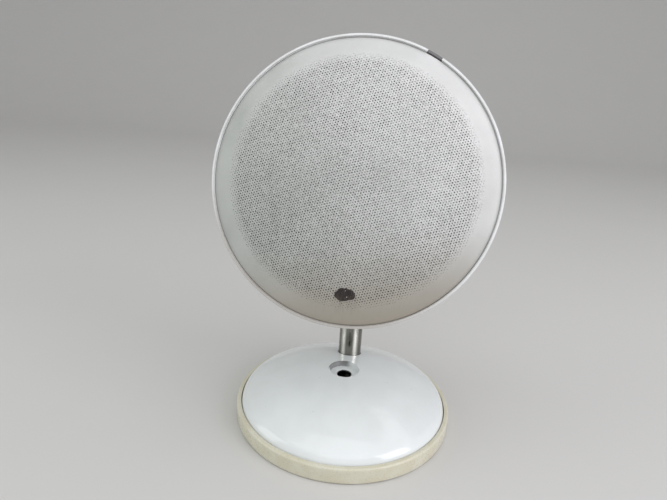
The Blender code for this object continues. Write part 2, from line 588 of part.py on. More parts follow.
def build_woofer_frame():
    top, seat = -3.0, BAFFLE_FRONT + GAP
    basket = [(44.5, top), (WOOFER_FLANGE, top), (WOOFER_FLANGE, seat), (46.2, seat), (46.2, -9.0),
              (31.0, -26.5), (31.0, -29.0), (17.5, -29.0), (17.5, -27.5), (29.5, -27.5),
              (29.5, -26.0), (44.5, -8.6)]
    frame = turned("woofer_basket", basket, BLACK_STEEL, WOOFER, steps=MEDIUM)
    windows = boxes("basket_windows", [((-60.0, -9.0, -25.5), (60.0, 9.0, -10.5)),
                                       ((-9.0, -60.0, -25.5), (9.0, 60.0, -10.5))], WOOFER)
    boolean(frame, windows)
    spots = ring_places(4, WOOFER_SCREW_CIRCLE, 45.0)
    holes = [(x, y, 1.6, seat - OVERCUT, top + OVERCUT) for x, y in spots]
    boolean(frame, cylinders("basket_screw_holes", holes, WOOFER))
    for i, spot in enumerate(spots, 1):
        screw_piece(f"woofer_screw_{i}", spot, (top + 1.7, top + GAP), 2.2, 1.2, -8.5, ZINC,
                    WOOFER)
    gasket = [(44.9, -1.2), (46.9, -1.2), (46.9, -1.9), (44.9, -1.9)]
    turned("woofer_gasket", gasket, RUBBER, WOOFER)


def build_woofer_motor():
    top_plate = [(13.3, -29.3), (30.0, -29.3), (30.0, -33.3), (13.3, -33.3)]
    turned("woofer_top_plate", top_plate, ZINC, WOOFER)
    magnet = [(16.0, -33.6), (32.2, -33.6), (33.0, -34.4), (33.0, -42.8), (32.2, -43.6),
              (16.0, -43.6)]
    turned("woofer_magnet", magnet, FERRITE, WOOFER)
    back_plate = [(0.0, -29.3), (11.9, -29.3), (11.9, -43.9), (31.0, -43.9), (31.0, -47.9),
                  (0.0, -47.9)]
    turned("woofer_back_plate", back_plate, ZINC, WOOFER)


def cap(radius, edge_z, rise, thickness, points=4):
    """A dome cap's closed profile, outside first and inside back to the axis."""
    sphere = (radius ** 2 + rise ** 2) / (2 * rise)
    centre = (0.0, edge_z + rise - sphere)
    start = math.degrees(math.acos(radius / sphere))
    outside = arc(centre, sphere, 90.0, start, points)
    inside = arc(centre, sphere - thickness, start, 90.0, points)
    outside[0] = (0.0, edge_z + rise)
    inside[-1] = (0.0, edge_z + rise - thickness)
    return outside + inside


def build_woofer_moving():
    cone = [(CONE_NECK, CONE_NECK_Z), (CONE_OUTER, CONE_EDGE_Z),
            (CONE_OUTER, CONE_EDGE_Z - CONE_THICK), (CONE_NECK, CONE_NECK_Z - CONE_THICK)]
    turned("woofer_cone", cone, PAPER, WOOFER)
    slope = (CONE_EDGE_Z - CONE_NECK_Z) / (CONE_OUTER - CONE_NECK)
    cap_radius = 15.0
    cap_edge = CONE_NECK_Z + slope * (cap_radius - CONE_NECK) + 0.7 + GAP
    turned("dust_cap", cap(cap_radius, cap_edge, 4.4, 0.7), PAPER, WOOFER)
    coil = [(12.3, -15.8), (12.9, -15.8), (12.9, -35.5), (12.3, -35.5)]
    turned("voice_coil", coil, COPPER, WOOFER)

    centre = ROLL_CENTRE
    over = arc(centre, ROLL_RADIUS, 165.0, 15.0, 5)
    under = arc(centre, ROLL_RADIUS - ROLL_THICK, 15.0, 165.0, 5)
    lip_z = CONE_EDGE_Z + 0.4
    surround = [(35.8, lip_z + ROLL_THICK), over[0]] + over[1:]
    surround += [(44.6, -2.2), (47.2, -2.2), (47.2, -2.7), (44.4, -2.7)] + under
    surround += [(CONE_OUTER + 0.3, lip_z), (35.8, lip_z)]
    turned("woofer_surround", surround, RUBBER, WOOFER)

    waves, spider_in, spider_out = 2, 13.4, 28.6
    high, low = [], []
    steps = waves * 4
    for i in range(steps + 1):
        radius = spider_in + (spider_out - spider_in) * i / steps
        wave = -26.1 + 0.6 * math.sin(2 * math.pi * waves * i / steps)
        high.append((radius, wave + 0.25))
        low.append((radius, wave - 0.25))
    turned("woofer_spider", high + list(reversed(low)), SPIDER_CLOTH, WOOFER)


def build_tweeter():
    housing = [(0.0, -23.5), (11.8, -23.5), (11.8, -3.2), (17.5, -3.2),
               (17.5, BAFFLE_FRONT + GAP), (13.4, BAFFLE_FRONT + GAP), (13.4, -25.0), (0.0, -25.0)]
    turned("tweeter_housing", housing, BLACK_PLASTIC, TWEETER)
    magnet = [(0.0, -9.2), (10.6, -9.2), (10.6, -23.2), (0.0, -23.2)]
    turned("tweeter_magnet", magnet, FERRITE, TWEETER, steps=COARSE)
    turned("tweeter_dome", cap(10.2, -8.2, 3.6, 0.5), SILK, TWEETER, steps=COARSE)


# ---------------------------------------------------------------- electronics and rear panel

def build_electronics():
    board = boxes("main_board", [((BOARD_X[0], BOARD_Y[0], BOARD_BACK),
                                  (BOARD_X[1], BOARD_Y[1], BOARD_FRONT))],
                  HEAD, cutter=False, coat=BOARD_GREEN)
    x, y = BUTTON_PLACE
    switch = boxes("board_switch", [((x - 3.0, y - 3.0, BOARD_BACK - 4.0),
                                     (x + 3.0, y + 3.0, BOARD_BACK + 0.5))], HEAD)
    boolean(board, switch, "UNION")
    chips = boxes("board_chips", [((-6.0, 26.0, BOARD_FRONT - 0.5), (6.0, 37.0, -35.0)),
                                  ((-26.0, 38.0, BOARD_FRONT - 0.5), (-18.0, 46.0, -32.0)),
                                  ((18.0, 42.0, BOARD_FRONT - 0.5), (25.0, 50.0, -34.5))], HEAD)
    boolean(board, chips, "UNION")

    low = BOARD_FRONT + GAP
    fins = [((-26.0, 20.0, low), (-10.0, 34.0, low + 2.0))]
    sink = boxes("heatsink", fins, HEAD, cutter=False, coat=ALUMINIUM)
    blades = [((-26.0 + 3.5 * i, 20.0, low + 1.0), (-24.5 + 3.5 * i, 34.0, low + 8.0))
              for i in range(5)]
    boolean(sink, boxes("heatsink_fins", blades, HEAD), "UNION")
    module = boxes("wireless_module", [((10.0, 21.0, low), (26.0, 33.0, low + 2.6))], HEAD,
                   cutter=False, coat=ALUMINIUM)
    bevel(module, 0.4, 1)

    for side, label in ((-1, "left"), (1, "right")):
        x = side * MICROPHONE_X
        y = MICROPHONE_Y
        back = BAFFLE_BACK - GAP
        mic = boxes(f"microphone_{label}", [((x - 6.0, y - 4.5, back - 2.0),
                                             (x + 6.0, y + 4.5, back - 1.0))], HEAD,
                    cutter=False, coat=BOARD_GREEN)
        can = boxes(f"microphone_can_{label}", [((x - 2.0, y - 1.5, back - 1.5),
                                                 (x + 2.0, y + 1.5, back))], HEAD)
        boolean(mic, can, "UNION")


def build_rear_panel():
    inside, outside = SHELL_REAR + SHELL_WALL + GAP, SHELL_REAR - GAP
    jack = [(0.0, -43.0), (5.5, -43.0), (5.5, inside), (4.6, inside), (4.6, outside),
            (6.5, outside), (6.5, outside - 1.2), (3.2, outside - 1.2), (3.2, -47.0),
            (0.9, -47.0), (0.9, outside), (0.0, outside)]
    turned("dc_jack", jack, BLACK_PLASTIC, HEAD, (*JACK_PLACE, 0.0), steps=COARSE)

    face = SHELL_REAR - 1.3
    button = [(0.0, -44.0), (1.4, -44.0), (1.4, inside + 1.2), (5.6, inside + 1.2),
              (5.6, inside + 0.1), (4.0, inside + 0.1), (4.0, face + 0.5), (3.5, face),
              (0.0, face)]
    turned("pair_button", button, BLACK_PLASTIC, HEAD, (*BUTTON_PLACE, 0.0), steps=COARSE)

    build_button_spring(inside + 1.2 + GAP, BOARD_BACK - 4.0 - GAP)


def build_button_spring(low, high):
    """A coil round the button's pin, between its flange and the switch on the board."""
    wire, coil_radius, turns, per_turn = 0.3, 2.6, 4, 9
    curve = bpy.data.curves.new("button_spring_path", "CURVE")
    curve.dimensions = "3D"
    curve.bevel_depth = wire * MM
    curve.bevel_resolution = 1    # six sides
    curve.use_fill_caps = True
    spline = curve.splines.new("POLY")
    count = turns * per_turn + 1
    spline.points.add(count - 1)
    for i in range(count):
        angle = 2 * math.pi * i / per_turn
        height = low + wire + (high - low - 2 * wire) * i / (count - 1)
        spline.points[i].co = (coil_radius * math.cos(angle) * MM,
                               coil_radius * math.sin(angle) * MM, height * MM, 1.0)
    path = bpy.data.objects.new("button_spring_path", curve)
    CUTTERS.objects.link(path)
    path.parent = HEAD
    path.location = Vector((*BUTTON_PLACE, 0.0)) * MM
    bpy.context.view_layer.update()
    depsgraph = bpy.context.evaluated_depsgraph_get()
    mesh = bpy.data.meshes.new_from_object(path.evaluated_get(depsgraph))
    shape = bmesh.new()
    shape.from_mesh(mesh)
    bmesh.ops.remove_doubles(shape, verts=shape.verts, dist=0.00001)
    shape.to_mesh(mesh)
    shape.free()
    mesh.name = "button_spring"
    spring = bpy.data.objects.new("button_spring", mesh)
    place(spring, ZINC, None, (0, 0, 0), (0, 0, 0))
    spring.matrix_world = path.matrix_world.copy()
    bpy.data.objects.remove(path, do_unlink=True)


build_foot_ring()
build_base_dome()
build_base_plate()
build_stem()
build_neck()
build_tilt_bracket()
build_rear_shell()
build_baffle()
build_trim_ring()
build_grille()
build_badge_adhesive()
build_woofer_frame()
build_woofer_motor()
build_woofer_moving()
build_tweeter()
build_electronics()
build_rear_panel()
bpy.context.view_layer.update()
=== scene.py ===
import json
import math

import bmesh
import bpy
from mathutils import Matrix, Vector


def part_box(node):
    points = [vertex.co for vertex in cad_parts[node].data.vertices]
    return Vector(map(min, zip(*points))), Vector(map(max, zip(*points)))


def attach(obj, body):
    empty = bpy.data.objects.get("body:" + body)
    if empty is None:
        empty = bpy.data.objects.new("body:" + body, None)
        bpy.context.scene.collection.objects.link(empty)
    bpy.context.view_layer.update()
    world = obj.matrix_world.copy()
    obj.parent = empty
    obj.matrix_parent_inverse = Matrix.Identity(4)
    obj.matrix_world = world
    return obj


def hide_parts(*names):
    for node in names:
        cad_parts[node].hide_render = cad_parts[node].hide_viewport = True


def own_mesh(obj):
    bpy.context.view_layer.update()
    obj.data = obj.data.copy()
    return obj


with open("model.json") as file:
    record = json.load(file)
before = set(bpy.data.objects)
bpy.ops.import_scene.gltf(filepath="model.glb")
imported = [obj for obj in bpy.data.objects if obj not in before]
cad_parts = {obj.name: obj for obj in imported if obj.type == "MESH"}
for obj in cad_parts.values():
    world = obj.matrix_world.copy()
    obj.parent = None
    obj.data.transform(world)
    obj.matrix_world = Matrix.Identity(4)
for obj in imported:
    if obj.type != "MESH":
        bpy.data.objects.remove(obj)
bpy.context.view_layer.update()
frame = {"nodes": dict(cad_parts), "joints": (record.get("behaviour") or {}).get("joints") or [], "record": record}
print("frame loaded:", len(frame["nodes"]), "nodes")

mm = 0.001                     # sizes below are millimetres
gap = 0.3                      # clearance that touching pieces keep
joints = {joint["name"]: joint for joint in frame["joints"]}


# Places and directions that the frame gives.

def boxMiddle(node):
    low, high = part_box(node)
    return (Vector(low) + Vector(high)) / 2


def halfWidth(node):
    low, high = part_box(node)
    return (high[0] - low[0]) / 2 / mm


stemPlace = boxMiddle("stem_tube")
stemPlace.z = 0.0
tiltPlace = Vector(joints["head_tilt"]["pos_m"])
outward = Vector(joints["woofer_travel"]["axis"]).normalized()      # straight out of the grille
sideways = Vector((1.0, 0.0, 0.0))
upFace = outward.cross(sideways).normalized()
trimFront, trimBack = 1.0, -6.7          # the trim ring's ends along the head's own axis
headPlace = boxMiddle("trim_ring") - outward * (trimFront + trimBack) / 2 * mm


def framed(place, across, up, out):
    matrix = Matrix((across, up, out)).transposed().to_4x4()
    matrix.translation = place
    return matrix


headFrame = framed(headPlace, sideways, upFace, outward)
stemFrame = Matrix.Translation(stemPlace)
tiltFrame = framed(tiltPlace, sideways, upFace, outward)
swivelFrame = Matrix.Translation(Vector(joints["head_swivel"]["pos_m"]))
pivotInHead = (headFrame.inverted() @ tiltPlace) / mm


# Node trees are grown by one method, and arithmetic on a node's output adds Math nodes.

class Wire:
    def __init__(self, network, socket):
        self.network = network
        self.socket = socket

    def maths(self, operation, first, second=0.0):
        return self.network.node("ShaderNodeMath", {"operation": operation}, {0: first, 1: second})

    def __add__(self, other):
        return self.maths("ADD", self, other)

    def __radd__(self, other):
        return self.maths("ADD", other, self)

    def __sub__(self, other):
        return self.maths("SUBTRACT", self, other)

    def __rsub__(self, other):
        return self.maths("SUBTRACT", other, self)

    def __mul__(self, other):
        return self.maths("MULTIPLY", self, other)

    def __rmul__(self, other):
        return self.maths("MULTIPLY", other, self)

    def __truediv__(self, other):
        return self.maths("DIVIDE", self, other)

    def __rtruediv__(self, other):
        return self.maths("DIVIDE", other, self)

    def __lt__(self, other):
        return self.maths("LESS_THAN", self, other)

    def __gt__(self, other):
        return self.maths("GREATER_THAN", self, other)

    def __abs__(self):
        return self.maths("ABSOLUTE", self)

    def root(self):
        return self.maths("SQRT", self)

    def rounded(self, way):
        return self.maths(way, self)


class Network:
    def __init__(self, tree):
        self.tree = tree

    def node(self, kind, settings=None, inputs=None, output=0):
        made = self.tree.nodes.new(kind)
        for key, value in (settings or {}).items():
            setattr(made, key, value)
        for key, value in (inputs or {}).items():
            self.plug(made.inputs[key], value)
        return Wire(self, made.outputs[output]) if made.outputs else made

    def plug(self, socket, value):
        for item in value if isinstance(value, list) else [value]:
            if isinstance(item, Wire):
                self.tree.links.new(item.socket, socket)
            else:
                socket.default_value = item

    def other(self, wire, output):
        return Wire(self, wire.socket.node.outputs[output])

    def parts(self, vector):
        first = self.node("ShaderNodeSeparateXYZ", None, {0: vector})
        return first, self.other(first, 1), self.other(first, 2)

    def vector(self, x, y, z):
        return self.node("ShaderNodeCombineXYZ", None, {0: x, 1: y, 2: z})

    def length(self, vector):
        return self.node("ShaderNodeVectorMath", {"operation": "LENGTH"}, {0: vector}, "Value")

    def span(self, value, low, high, first=0.0, last=1.0, curve="SMOOTHSTEP"):
        return self.node("ShaderNodeMapRange", {"interpolation_type": curve},
                         {"Value": value, "From Min": low, "From Max": high, "To Min": first,
                          "To Max": last})


class Finish(Network):
    def __init__(self, name, roughness=0.5, metallic=0.0, **constants):
        words = name.split("_")
        camel = words[0] + "".join(word.title() for word in words[1:])
        self.material = bpy.data.materials.new(camel)
        self.material.use_nodes = True
        super().__init__(self.material.node_tree)
        self.shader = self.tree.nodes["Principled BSDF"]
        self.shader.inputs["Roughness"].default_value = roughness
        self.shader.inputs["Metallic"].default_value = metallic
        for key, value in constants.items():
            self.shader.inputs[key.replace("_", " ").title()].default_value = value
        self.here = self.node("ShaderNodeTexCoord", output="Object")

    def seenFrom(self, matrix):            # coordinates in a piece's own tilted frame
        back = matrix.inverted()
        return self.node("ShaderNodeMapping", {"vector_type": "POINT"},
                         {"Vector": self.here, "Location": back.to_translation(),
                          "Rotation": back.to_euler()})

    def stretched(self, vector, factors):
        return self.node("ShaderNodeVectorMath", {"operation": "MULTIPLY"},
                         {0: vector, 1: factors})

    def noise(self, vector, size, detail=2.0, rough=0.5):
        return self.node("ShaderNodeTexNoise", None,
                         {"Vector": vector, "Scale": 1.0 / (size * mm), "Detail": detail,
                          "Roughness": rough})

    def cells(self, vector, size, feature="F1"):
        return self.node("ShaderNodeTexVoronoi", {"feature": feature},
                         {"Vector": vector, "Scale": 1.0 / (size * mm)}, "Distance")

    def waves(self, vector, size, direction="X", distortion=0.0):
        return self.node("ShaderNodeTexWave", {"wave_type": "BANDS",
                                               "bands_direction": direction},
                         {"Vector": vector, "Scale": 0.314 / (size * mm),
                          "Distortion": distortion}, 1)

    def mix(self, factor, first, second):
        return self.node("ShaderNodeMix", {"data_type": "RGBA"}, {0: factor, 6: first, 7: second},
                         2)

    def rise(self, value, low, high):      # 0 below low millimetres and 1 above high
        return self.span(value, low * mm, high * mm)

    def fade(self, value, low, high, most=1.0):
        return self.span(value, low * mm, high * mm, most, 0.0)

    def paint(self, colour):
        self.plug(self.shader.inputs["Base Color"], colour)

    def roughen(self, value):
        self.plug(self.shader.inputs["Roughness"], value)

    def bump(self, height, depth, under=None):
        inputs = {"Height": height, "Distance": depth * mm, "Strength": 1.0}
        if under:
            inputs["Normal"] = under
        normal = self.node("ShaderNodeBump", None, inputs)
        self.plug(self.shader.inputs["Normal"], normal)
        return normal


def rgb(red, green, blue):
    return (red, green, blue, 1.0)


def scaled(colour, factor):
    return (*(channel * factor for channel in colour[:3]), 1.0)


def tinted(colour, tint):
    return (*(channel * share for channel, share in zip(colour, tint)), 1.0)


# Mesh tools. A profile is a list of (radius, height[, fillet]) and its outer side runs down.

def softened(corners, steps=5):
    points = []
    for i, corner in enumerate(corners):
        here = Vector(corner[:2])
        if len(corner) < 3 or not 0 < i < len(corners) - 1 + (corners[0][0] > 0):
            points.append(tuple(here))
            continue
        before = Vector(corners[i - 1][:2]) - here
        after = Vector(corners[(i + 1) % len(corners)][:2]) - here
        angle = before.angle(after)
        reach = min(corner[2] / math.tan(angle / 2), before.length * 0.48, after.length * 0.48)
        radius = reach * math.tan(angle / 2)
        first, last = before.normalized(), after.normalized()
        centre = here + (first + last).normalized() * radius / math.sin(angle / 2)
        start = here + first * reach - centre
        end = here + last * reach - centre
        sweep = start.angle_signed(end)
        for step in range(steps + 1):
            turn = Matrix.Rotation(-sweep * step / steps, 2)
            points.append(tuple(centre + turn @ start))
    return points


def arc(centre, radius, start, end, count, squash=1.0):
    points = []
    for i in range(count):
        angle = math.radians(start + (end - start) * i / (count - 1))
        points.append((centre[0] + radius * math.cos(angle),
                       centre[1] + radius * squash * math.sin(angle)))
    return points


def crowned(apex, crown, edge, outer, innerRadius, count, edgeCount):
    edgeCentre = (outer - edge,
                  apex - crown + math.sqrt((crown - edge) ** 2 - (outer - edge) ** 2))
    meet = math.degrees(math.acos((outer - edge) / (crown - edge)))
    start = math.degrees(math.acos(innerRadius / crown))
    big = arc((0.0, apex - crown), crown, start, meet, count)
    return big + arc(edgeCentre, edge, meet, 0.0, edgeCount)[1:]


def lathe(profile, segments=128, closed=True):
    shape = bmesh.new()
    rings = []
    for radius, height in profile:
        if radius < 1e-4:
            rings.append([shape.verts.new((0.0, 0.0, height * mm))] * segments)
            continue
        ring = []
        for i in range(segments):
            angle = 2 * math.pi * i / segments
            ring.append(shape.verts.new((radius * mm * math.cos(angle),
                                         radius * mm * math.sin(angle), height * mm)))
        rings.append(ring)
    if closed and profile[0][0] >= 1e-4:
        rings.append(rings[0])
    for upper, lower in zip(rings, rings[1:]):
        for i in range(segments):
            j = (i + 1) % segments
            corners = list(dict.fromkeys((upper[i], lower[i], lower[j], upper[j])))
            if len(corners) > 2:
                shape.faces.new(corners)
    return shape


def slab(outline, low, high, edge=0.0, segments=2):
    shape = bmesh.new()
    face = shape.faces.new([shape.verts.new((x * mm, y * mm, low * mm)) for x, y in outline])
    raised = bmesh.ops.extrude_face_region(shape, geom=[face])["geom"]
    moved = [item for item in raised if isinstance(item, bmesh.types.BMVert)]
    bmesh.ops.translate(shape, verts=moved, vec=(0.0, 0.0, (high - low) * mm))
    bmesh.ops.recalc_face_normals(shape, faces=shape.faces)
    if edge:
        rims = [item for item in shape.edges if item.calc_face_angle(0.0) > 0.6]
        bmesh.ops.bevel(shape, geom=rims, offset=edge * mm, segments=segments, profile=0.5,
                        affect="EDGES")
    return shape


def roundedBox(low, high, corner, count=5):
    points = []
    for x, y, start in ((high[0], high[1], 0), (low[0], high[1], 90), (low[0], low[1], 180),
                        (high[0], low[1], 270)):
        centre = (x - math.copysign(corner, x - (low[0] + high[0]) / 2),
                  y - math.copysign(corner, y - (low[1] + high[1]) / 2))
        points += arc(centre, corner, start, start + 90, count)
    return points


def rod(radius, low, high, place=(0.0, 0.0), segments=32):
    shape = lathe([(0.0, high), (radius, high), (radius, low), (0.0, low)], segments)
    bmesh.ops.translate(shape, verts=shape.verts, vec=(place[0] * mm, place[1] * mm, 0.0))
    return shape


def turnedTo(shape, axis, degrees, place=(0.0, 0.0, 0.0)):
    matrix = Matrix.Translation(Vector(place) * mm) @ Matrix.Rotation(math.radians(degrees), 4,
                                                                      axis)
    bmesh.ops.transform(shape, matrix=matrix, verts=shape.verts)
    return shape


def meshOf(shape):
    bmesh.ops.recalc_face_normals(shape, faces=shape.faces)
    mesh = bpy.data.meshes.new("shape")
    shape.to_mesh(mesh)
    shape.free()
    return mesh


def joined(shapes):
    whole = bmesh.new()
    for shape in shapes:
        mesh = meshOf(shape)
        whole.from_mesh(mesh)
        bpy.data.meshes.remove(mesh)
    return whole


def ringPlaces(count, radius, first=0.0, centre=(0.0, 0.0)):
    angles = [math.radians(first + 360.0 * i / count) for i in range(count)]
    return [(centre[0] + radius * math.cos(angle), centre[1] + radius * math.sin(angle))
            for angle in angles]


def evaluated(host):
    bpy.context.view_layer.update()
    graph = bpy.context.evaluated_depsgraph_get()
    mesh = bpy.data.meshes.new_from_object(host.evaluated_get(graph))
    bpy.data.objects.remove(host, do_unlink=True)
    return mesh


def hostOf(mesh, name="host"):
    host = bpy.data.objects.new(name, mesh)
    bpy.context.scene.collection.objects.link(host)
    return host


def combined(mesh, steps):                # steps: (operation, bmesh)
    host = hostOf(mesh)
    helpers = []
    for operation, shape in steps:
        helper = hostOf(meshOf(shape), "helper")
        modifier = host.modifiers.new(operation, "BOOLEAN")
        modifier.operation = operation
        modifier.solver = "EXACT"
        modifier.object = helper
        helpers.append(helper)
    result = evaluated(host)
    for helper in helpers:
        bpy.data.objects.remove(helper, do_unlink=True)
    return result


def addPiece(name, mesh, finishes, body, nodes, matrix=None, sharp=32.0):
    if isinstance(mesh, bmesh.types.BMesh):
        mesh = meshOf(mesh)
    if matrix:
        mesh.transform(matrix)
    mesh.name = name
    mesh.shade_smooth()
    mesh.set_sharp_from_angle(angle=math.radians(sharp))
    if not mesh.materials:
        for finish in finishes:
            mesh.materials.append(finish.material)
    piece = hostOf(mesh, name)
    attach(piece, body)
    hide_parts(*nodes)
    return piece


def runTree(host, tree, values):
    modifier = host.modifiers.new(tree.name, "NODES")
    modifier.node_group = tree
    for item in tree.interface.items_tree:
        if item.item_type == "SOCKET" and item.in_out == "INPUT" and item.name in values:
            modifier[item.identifier] = values[item.name]
    mesh = evaluated(host)
    for index in reversed(range(len(mesh.materials))):       # the tree's first slot stays empty
        if mesh.materials[index] is None:
            mesh.materials.pop(index=index)
    return mesh


def newTree(name, sockets):
    tree = bpy.data.node_groups.new(name, "GeometryNodeTree")
    tree.interface.new_socket("Geometry", in_out="OUTPUT", socket_type="NodeSocketGeometry")
    for label, kind in sockets:
        tree.interface.new_socket(label, in_out="INPUT", socket_type="NodeSocket" + kind)
    network = Network(tree)
    first = network.node("NodeGroupInput")
    given = {label: network.other(first, label) for label, kind in sockets}
    return network, given


def endTree(network, geometry):
    network.node("NodeGroupOutput", None, {0: geometry})
    return network.tree


# Finishes. Each has its light and dark tone, roughness range and grain size.

plainLooks = {
    "zinc_steel": {"light": rgb(0.56, 0.57, 0.58), "dark": rgb(0.40, 0.41, 0.43), "metallic": 1.0,
                   "rough": (0.26, 0.48), "cloud": 5.0, "grain": 0.35, "depth": 0.010},
    "ballast_steel": {"light": rgb(0.055, 0.055, 0.06), "dark": rgb(0.030, 0.030, 0.033),
                      "metallic": 0.3, "rough": (0.42, 0.62), "cloud": 14.0, "grain": 0.9,
                      "depth": 0.05},
    "black_steel": {"light": rgb(0.040, 0.040, 0.042), "dark": rgb(0.022, 0.022, 0.024),
                    "metallic": 0.2, "rough": (0.36, 0.55), "cloud": 9.0, "grain": 0.28,
                    "depth": 0.014},
    "black_plastic": {"light": rgb(0.036, 0.036, 0.040), "dark": rgb(0.024, 0.024, 0.027),
                      "metallic": 0.0, "rough": (0.42, 0.60), "cloud": 12.0, "grain": 0.22,
                      "depth": 0.016},
    "black_rubber": {"light": rgb(0.030, 0.030, 0.031), "dark": rgb(0.016, 0.016, 0.017),
                     "metallic": 0.0, "rough": (0.58, 0.78), "cloud": 7.0, "grain": 0.18,
                     "depth": 0.010},
    "ferrite": {"light": rgb(0.085, 0.085, 0.090), "dark": rgb(0.050, 0.050, 0.054),
                "metallic": 0.1, "rough": (0.52, 0.72), "cloud": 8.0, "grain": 0.30,
                "depth": 0.03},
    "cone_paper": {"light": rgb(0.080, 0.080, 0.084), "dark": rgb(0.042, 0.042, 0.046),
                   "metallic": 0.0, "rough": (0.74, 0.92), "cloud": 3.5, "grain": 0.45,
                   "depth": 0.06},
    "white_nylon": {"light": rgb(0.76, 0.75, 0.71), "dark": rgb(0.66, 0.65, 0.60),
                    "metallic": 0.0, "rough": (0.40, 0.55), "cloud": 6.0, "grain": 0.25,
                    "depth": 0.010},
    "aluminium": {"light": rgb(0.76, 0.77, 0.78), "dark": rgb(0.62, 0.63, 0.65),
                  "metallic": 1.0, "rough": (0.28, 0.46), "cloud": 5.0, "grain": 0.20,
                  "depth": 0.008},
}


def plainFinish(name):
    look = plainLooks[name]
    finish = Finish(name, metallic=look["metallic"])
    cloud = finish.noise(finish.here, look["cloud"], 4.0)
    grain = finish.noise(finish.here, look["grain"], 2.0)
    tone = finish.span(cloud * 0.7 + grain * 0.3, 0.35, 0.65)
    finish.paint(finish.mix(tone, look["dark"], look["light"]))
    finish.roughen(finish.span(cloud * 0.5 + grain * 0.5, 0.3, 0.7, *look["rough"]))
    finish.bump(grain, look["depth"])
    return finish


finishes = {name: plainFinish(name) for name in plainLooks}


def weaveFinish(name, light, dark, thread, depth, roughness):
    finish = Finish(name, roughness=roughness, sheen_weight=0.25)
    own = finish.seenFrom(headFrame)
    across = finish.waves(own, thread, "X")
    along = finish.waves(own, thread, "Y")
    weave = across * 0.5 + along * 0.5
    stain = finish.noise(own, 7.0, 3.0)
    finish.paint(finish.mix(finish.span(weave * 0.7 + stain * 0.3, 0.25, 0.75), dark, light))
    finish.bump(weave, depth)
    return finish


finishes["spider_cloth"] = weaveFinish("spider_cloth", rgb(0.56, 0.41, 0.19),
                                       rgb(0.34, 0.23, 0.09), 0.5, 0.08, 0.85)
finishes["tweeter_silk"] = weaveFinish("tweeter_silk", rgb(0.060, 0.060, 0.066),
                                       rgb(0.030, 0.030, 0.034), 0.25, 0.03, 0.7)
finishes["speaker_cloth"] = weaveFinish("speaker_cloth", rgb(0.060, 0.060, 0.060),
                                        rgb(0.020, 0.020, 0.020), 0.3, 0.05, 0.9)


def windingFinish():
    finish = Finish("copper_wire", metallic=1.0, coat_weight=0.4)
    own = finish.seenFrom(headFrame)
    turns = finish.waves(own, 0.22, "Z")
    tint = finish.noise(own, 3.0, 3.0)
    finish.paint(finish.mix(finish.span(turns * 0.6 + tint * 0.4, 0.2, 0.8),
                            rgb(0.40, 0.16, 0.07), rgb(0.76, 0.38, 0.19)))
    finish.roughen(finish.span(tint, 0.3, 0.7, 0.22, 0.38))
    finish.bump(turns, 0.08)
    return finish


finishes["copper_wire"] = windingFinish()


def boardFinish():
    finish = Finish("board_green", coat_weight=0.3)
    own = finish.seenFrom(headFrame)
    grid = finish.waves(own, 2.4, "X", 6.0)
    other = finish.waves(own, 3.1, "Y", 6.0)
    track = finish.span(abs(grid - 0.5), 0.06, 0.10, 1.0, 0.0)
    cross = finish.span(abs(other - 0.5), 0.05, 0.09, 1.0, 0.0)
    copper = finish.span(track + cross, 0.1, 0.9)
    pads = finish.span(finish.cells(own, 2.6), 0.16, 0.20, 1.0, 0.0)
    mask = finish.noise(own, 6.0, 3.0)
    ground = finish.mix(finish.span(mask, 0.3, 0.7), rgb(0.012, 0.11, 0.045),
                        rgb(0.020, 0.16, 0.068))
    tracked = finish.mix(copper * 0.7, ground, rgb(0.035, 0.24, 0.10))
    finish.paint(finish.mix(pads, tracked, rgb(0.55, 0.53, 0.48)))
    finish.roughen(finish.span(pads, 0.0, 1.0, 0.42, 0.28))
    finish.bump(copper + pads, 0.03)
    return finish


finishes["board_green"] = boardFinish()


# the dark tone for the line is a painted shadow round the recess's rim, and the inside tone is painted shade in
# the bore
glossWhite = {"light": rgb(0.83, 0.86, 0.855), "dark": rgb(0.80, 0.83, 0.822),
              "dust": rgb(0.42, 0.41, 0.38), "rough": (0.10, 0.20), "scratch": 0.004,
              "grime": rgb(0.16, 0.155, 0.15), "inside": rgb(0.030, 0.030, 0.030),
              "line": 10.7, "lineWidth": (0.25, 0.95), "lineSide": (6.0, 11.0),
              "boreEdge": (5.0, 5.5), "boreTop": (28.5, 29.0), "lowest": 20.0}


def glossFinish():
    finish = Finish("gloss_white", coat_weight=0.6, coat_roughness=0.04)
    cloud = finish.noise(finish.here, 22.0, 3.0)
    fine = finish.noise(finish.here, 1.6, 4.0)
    specks = finish.span(finish.cells(finish.here, 5.5), 0.055, 0.075, 1.0, 0.0)
    few = finish.span(finish.noise(finish.here, 16.0, 2.0), 0.52, 0.60)
    tone = finish.mix(finish.span(cloud, 0.35, 0.65), glossWhite["dark"], glossWhite["light"])
    # a painted shadow line runs along the back left of the recess's rim, and the bore is painted dark inside as
    # painted shade
    x, y, height = finish.parts(finish.here)
    reach = (x * x + y * y).root() + (fine - 0.5) * (0.6 * mm)
    line = finish.fade(abs(reach - glossWhite["line"] * mm), *glossWhite["lineWidth"])
    line = line * finish.rise(y - x * 0.9, *glossWhite["lineSide"])
    line = line * (height > glossWhite["lowest"] * mm)
    bore = finish.fade(reach, *glossWhite["boreEdge"]) * finish.fade(height,
                                                                     *glossWhite["boreTop"])
    dustAndShade = finish.mix(specks * few * 0.55, tone, glossWhite["dust"])
    dustAndShade = finish.mix(line * 0.85, dustAndShade, glossWhite["grime"])
    finish.paint(finish.mix(bore, dustAndShade, glossWhite["inside"]))
    hair = finish.noise(finish.stretched(finish.here, (0.12, 1.0, 1.0)), 0.5, 2.0)
    wipes = finish.span(hair, 0.62, 0.70)
    finish.roughen(finish.span(fine, 0.35, 0.7, *glossWhite["rough"]) + wipes * 0.06)
    finish.bump(fine, glossWhite["scratch"])
    return finish


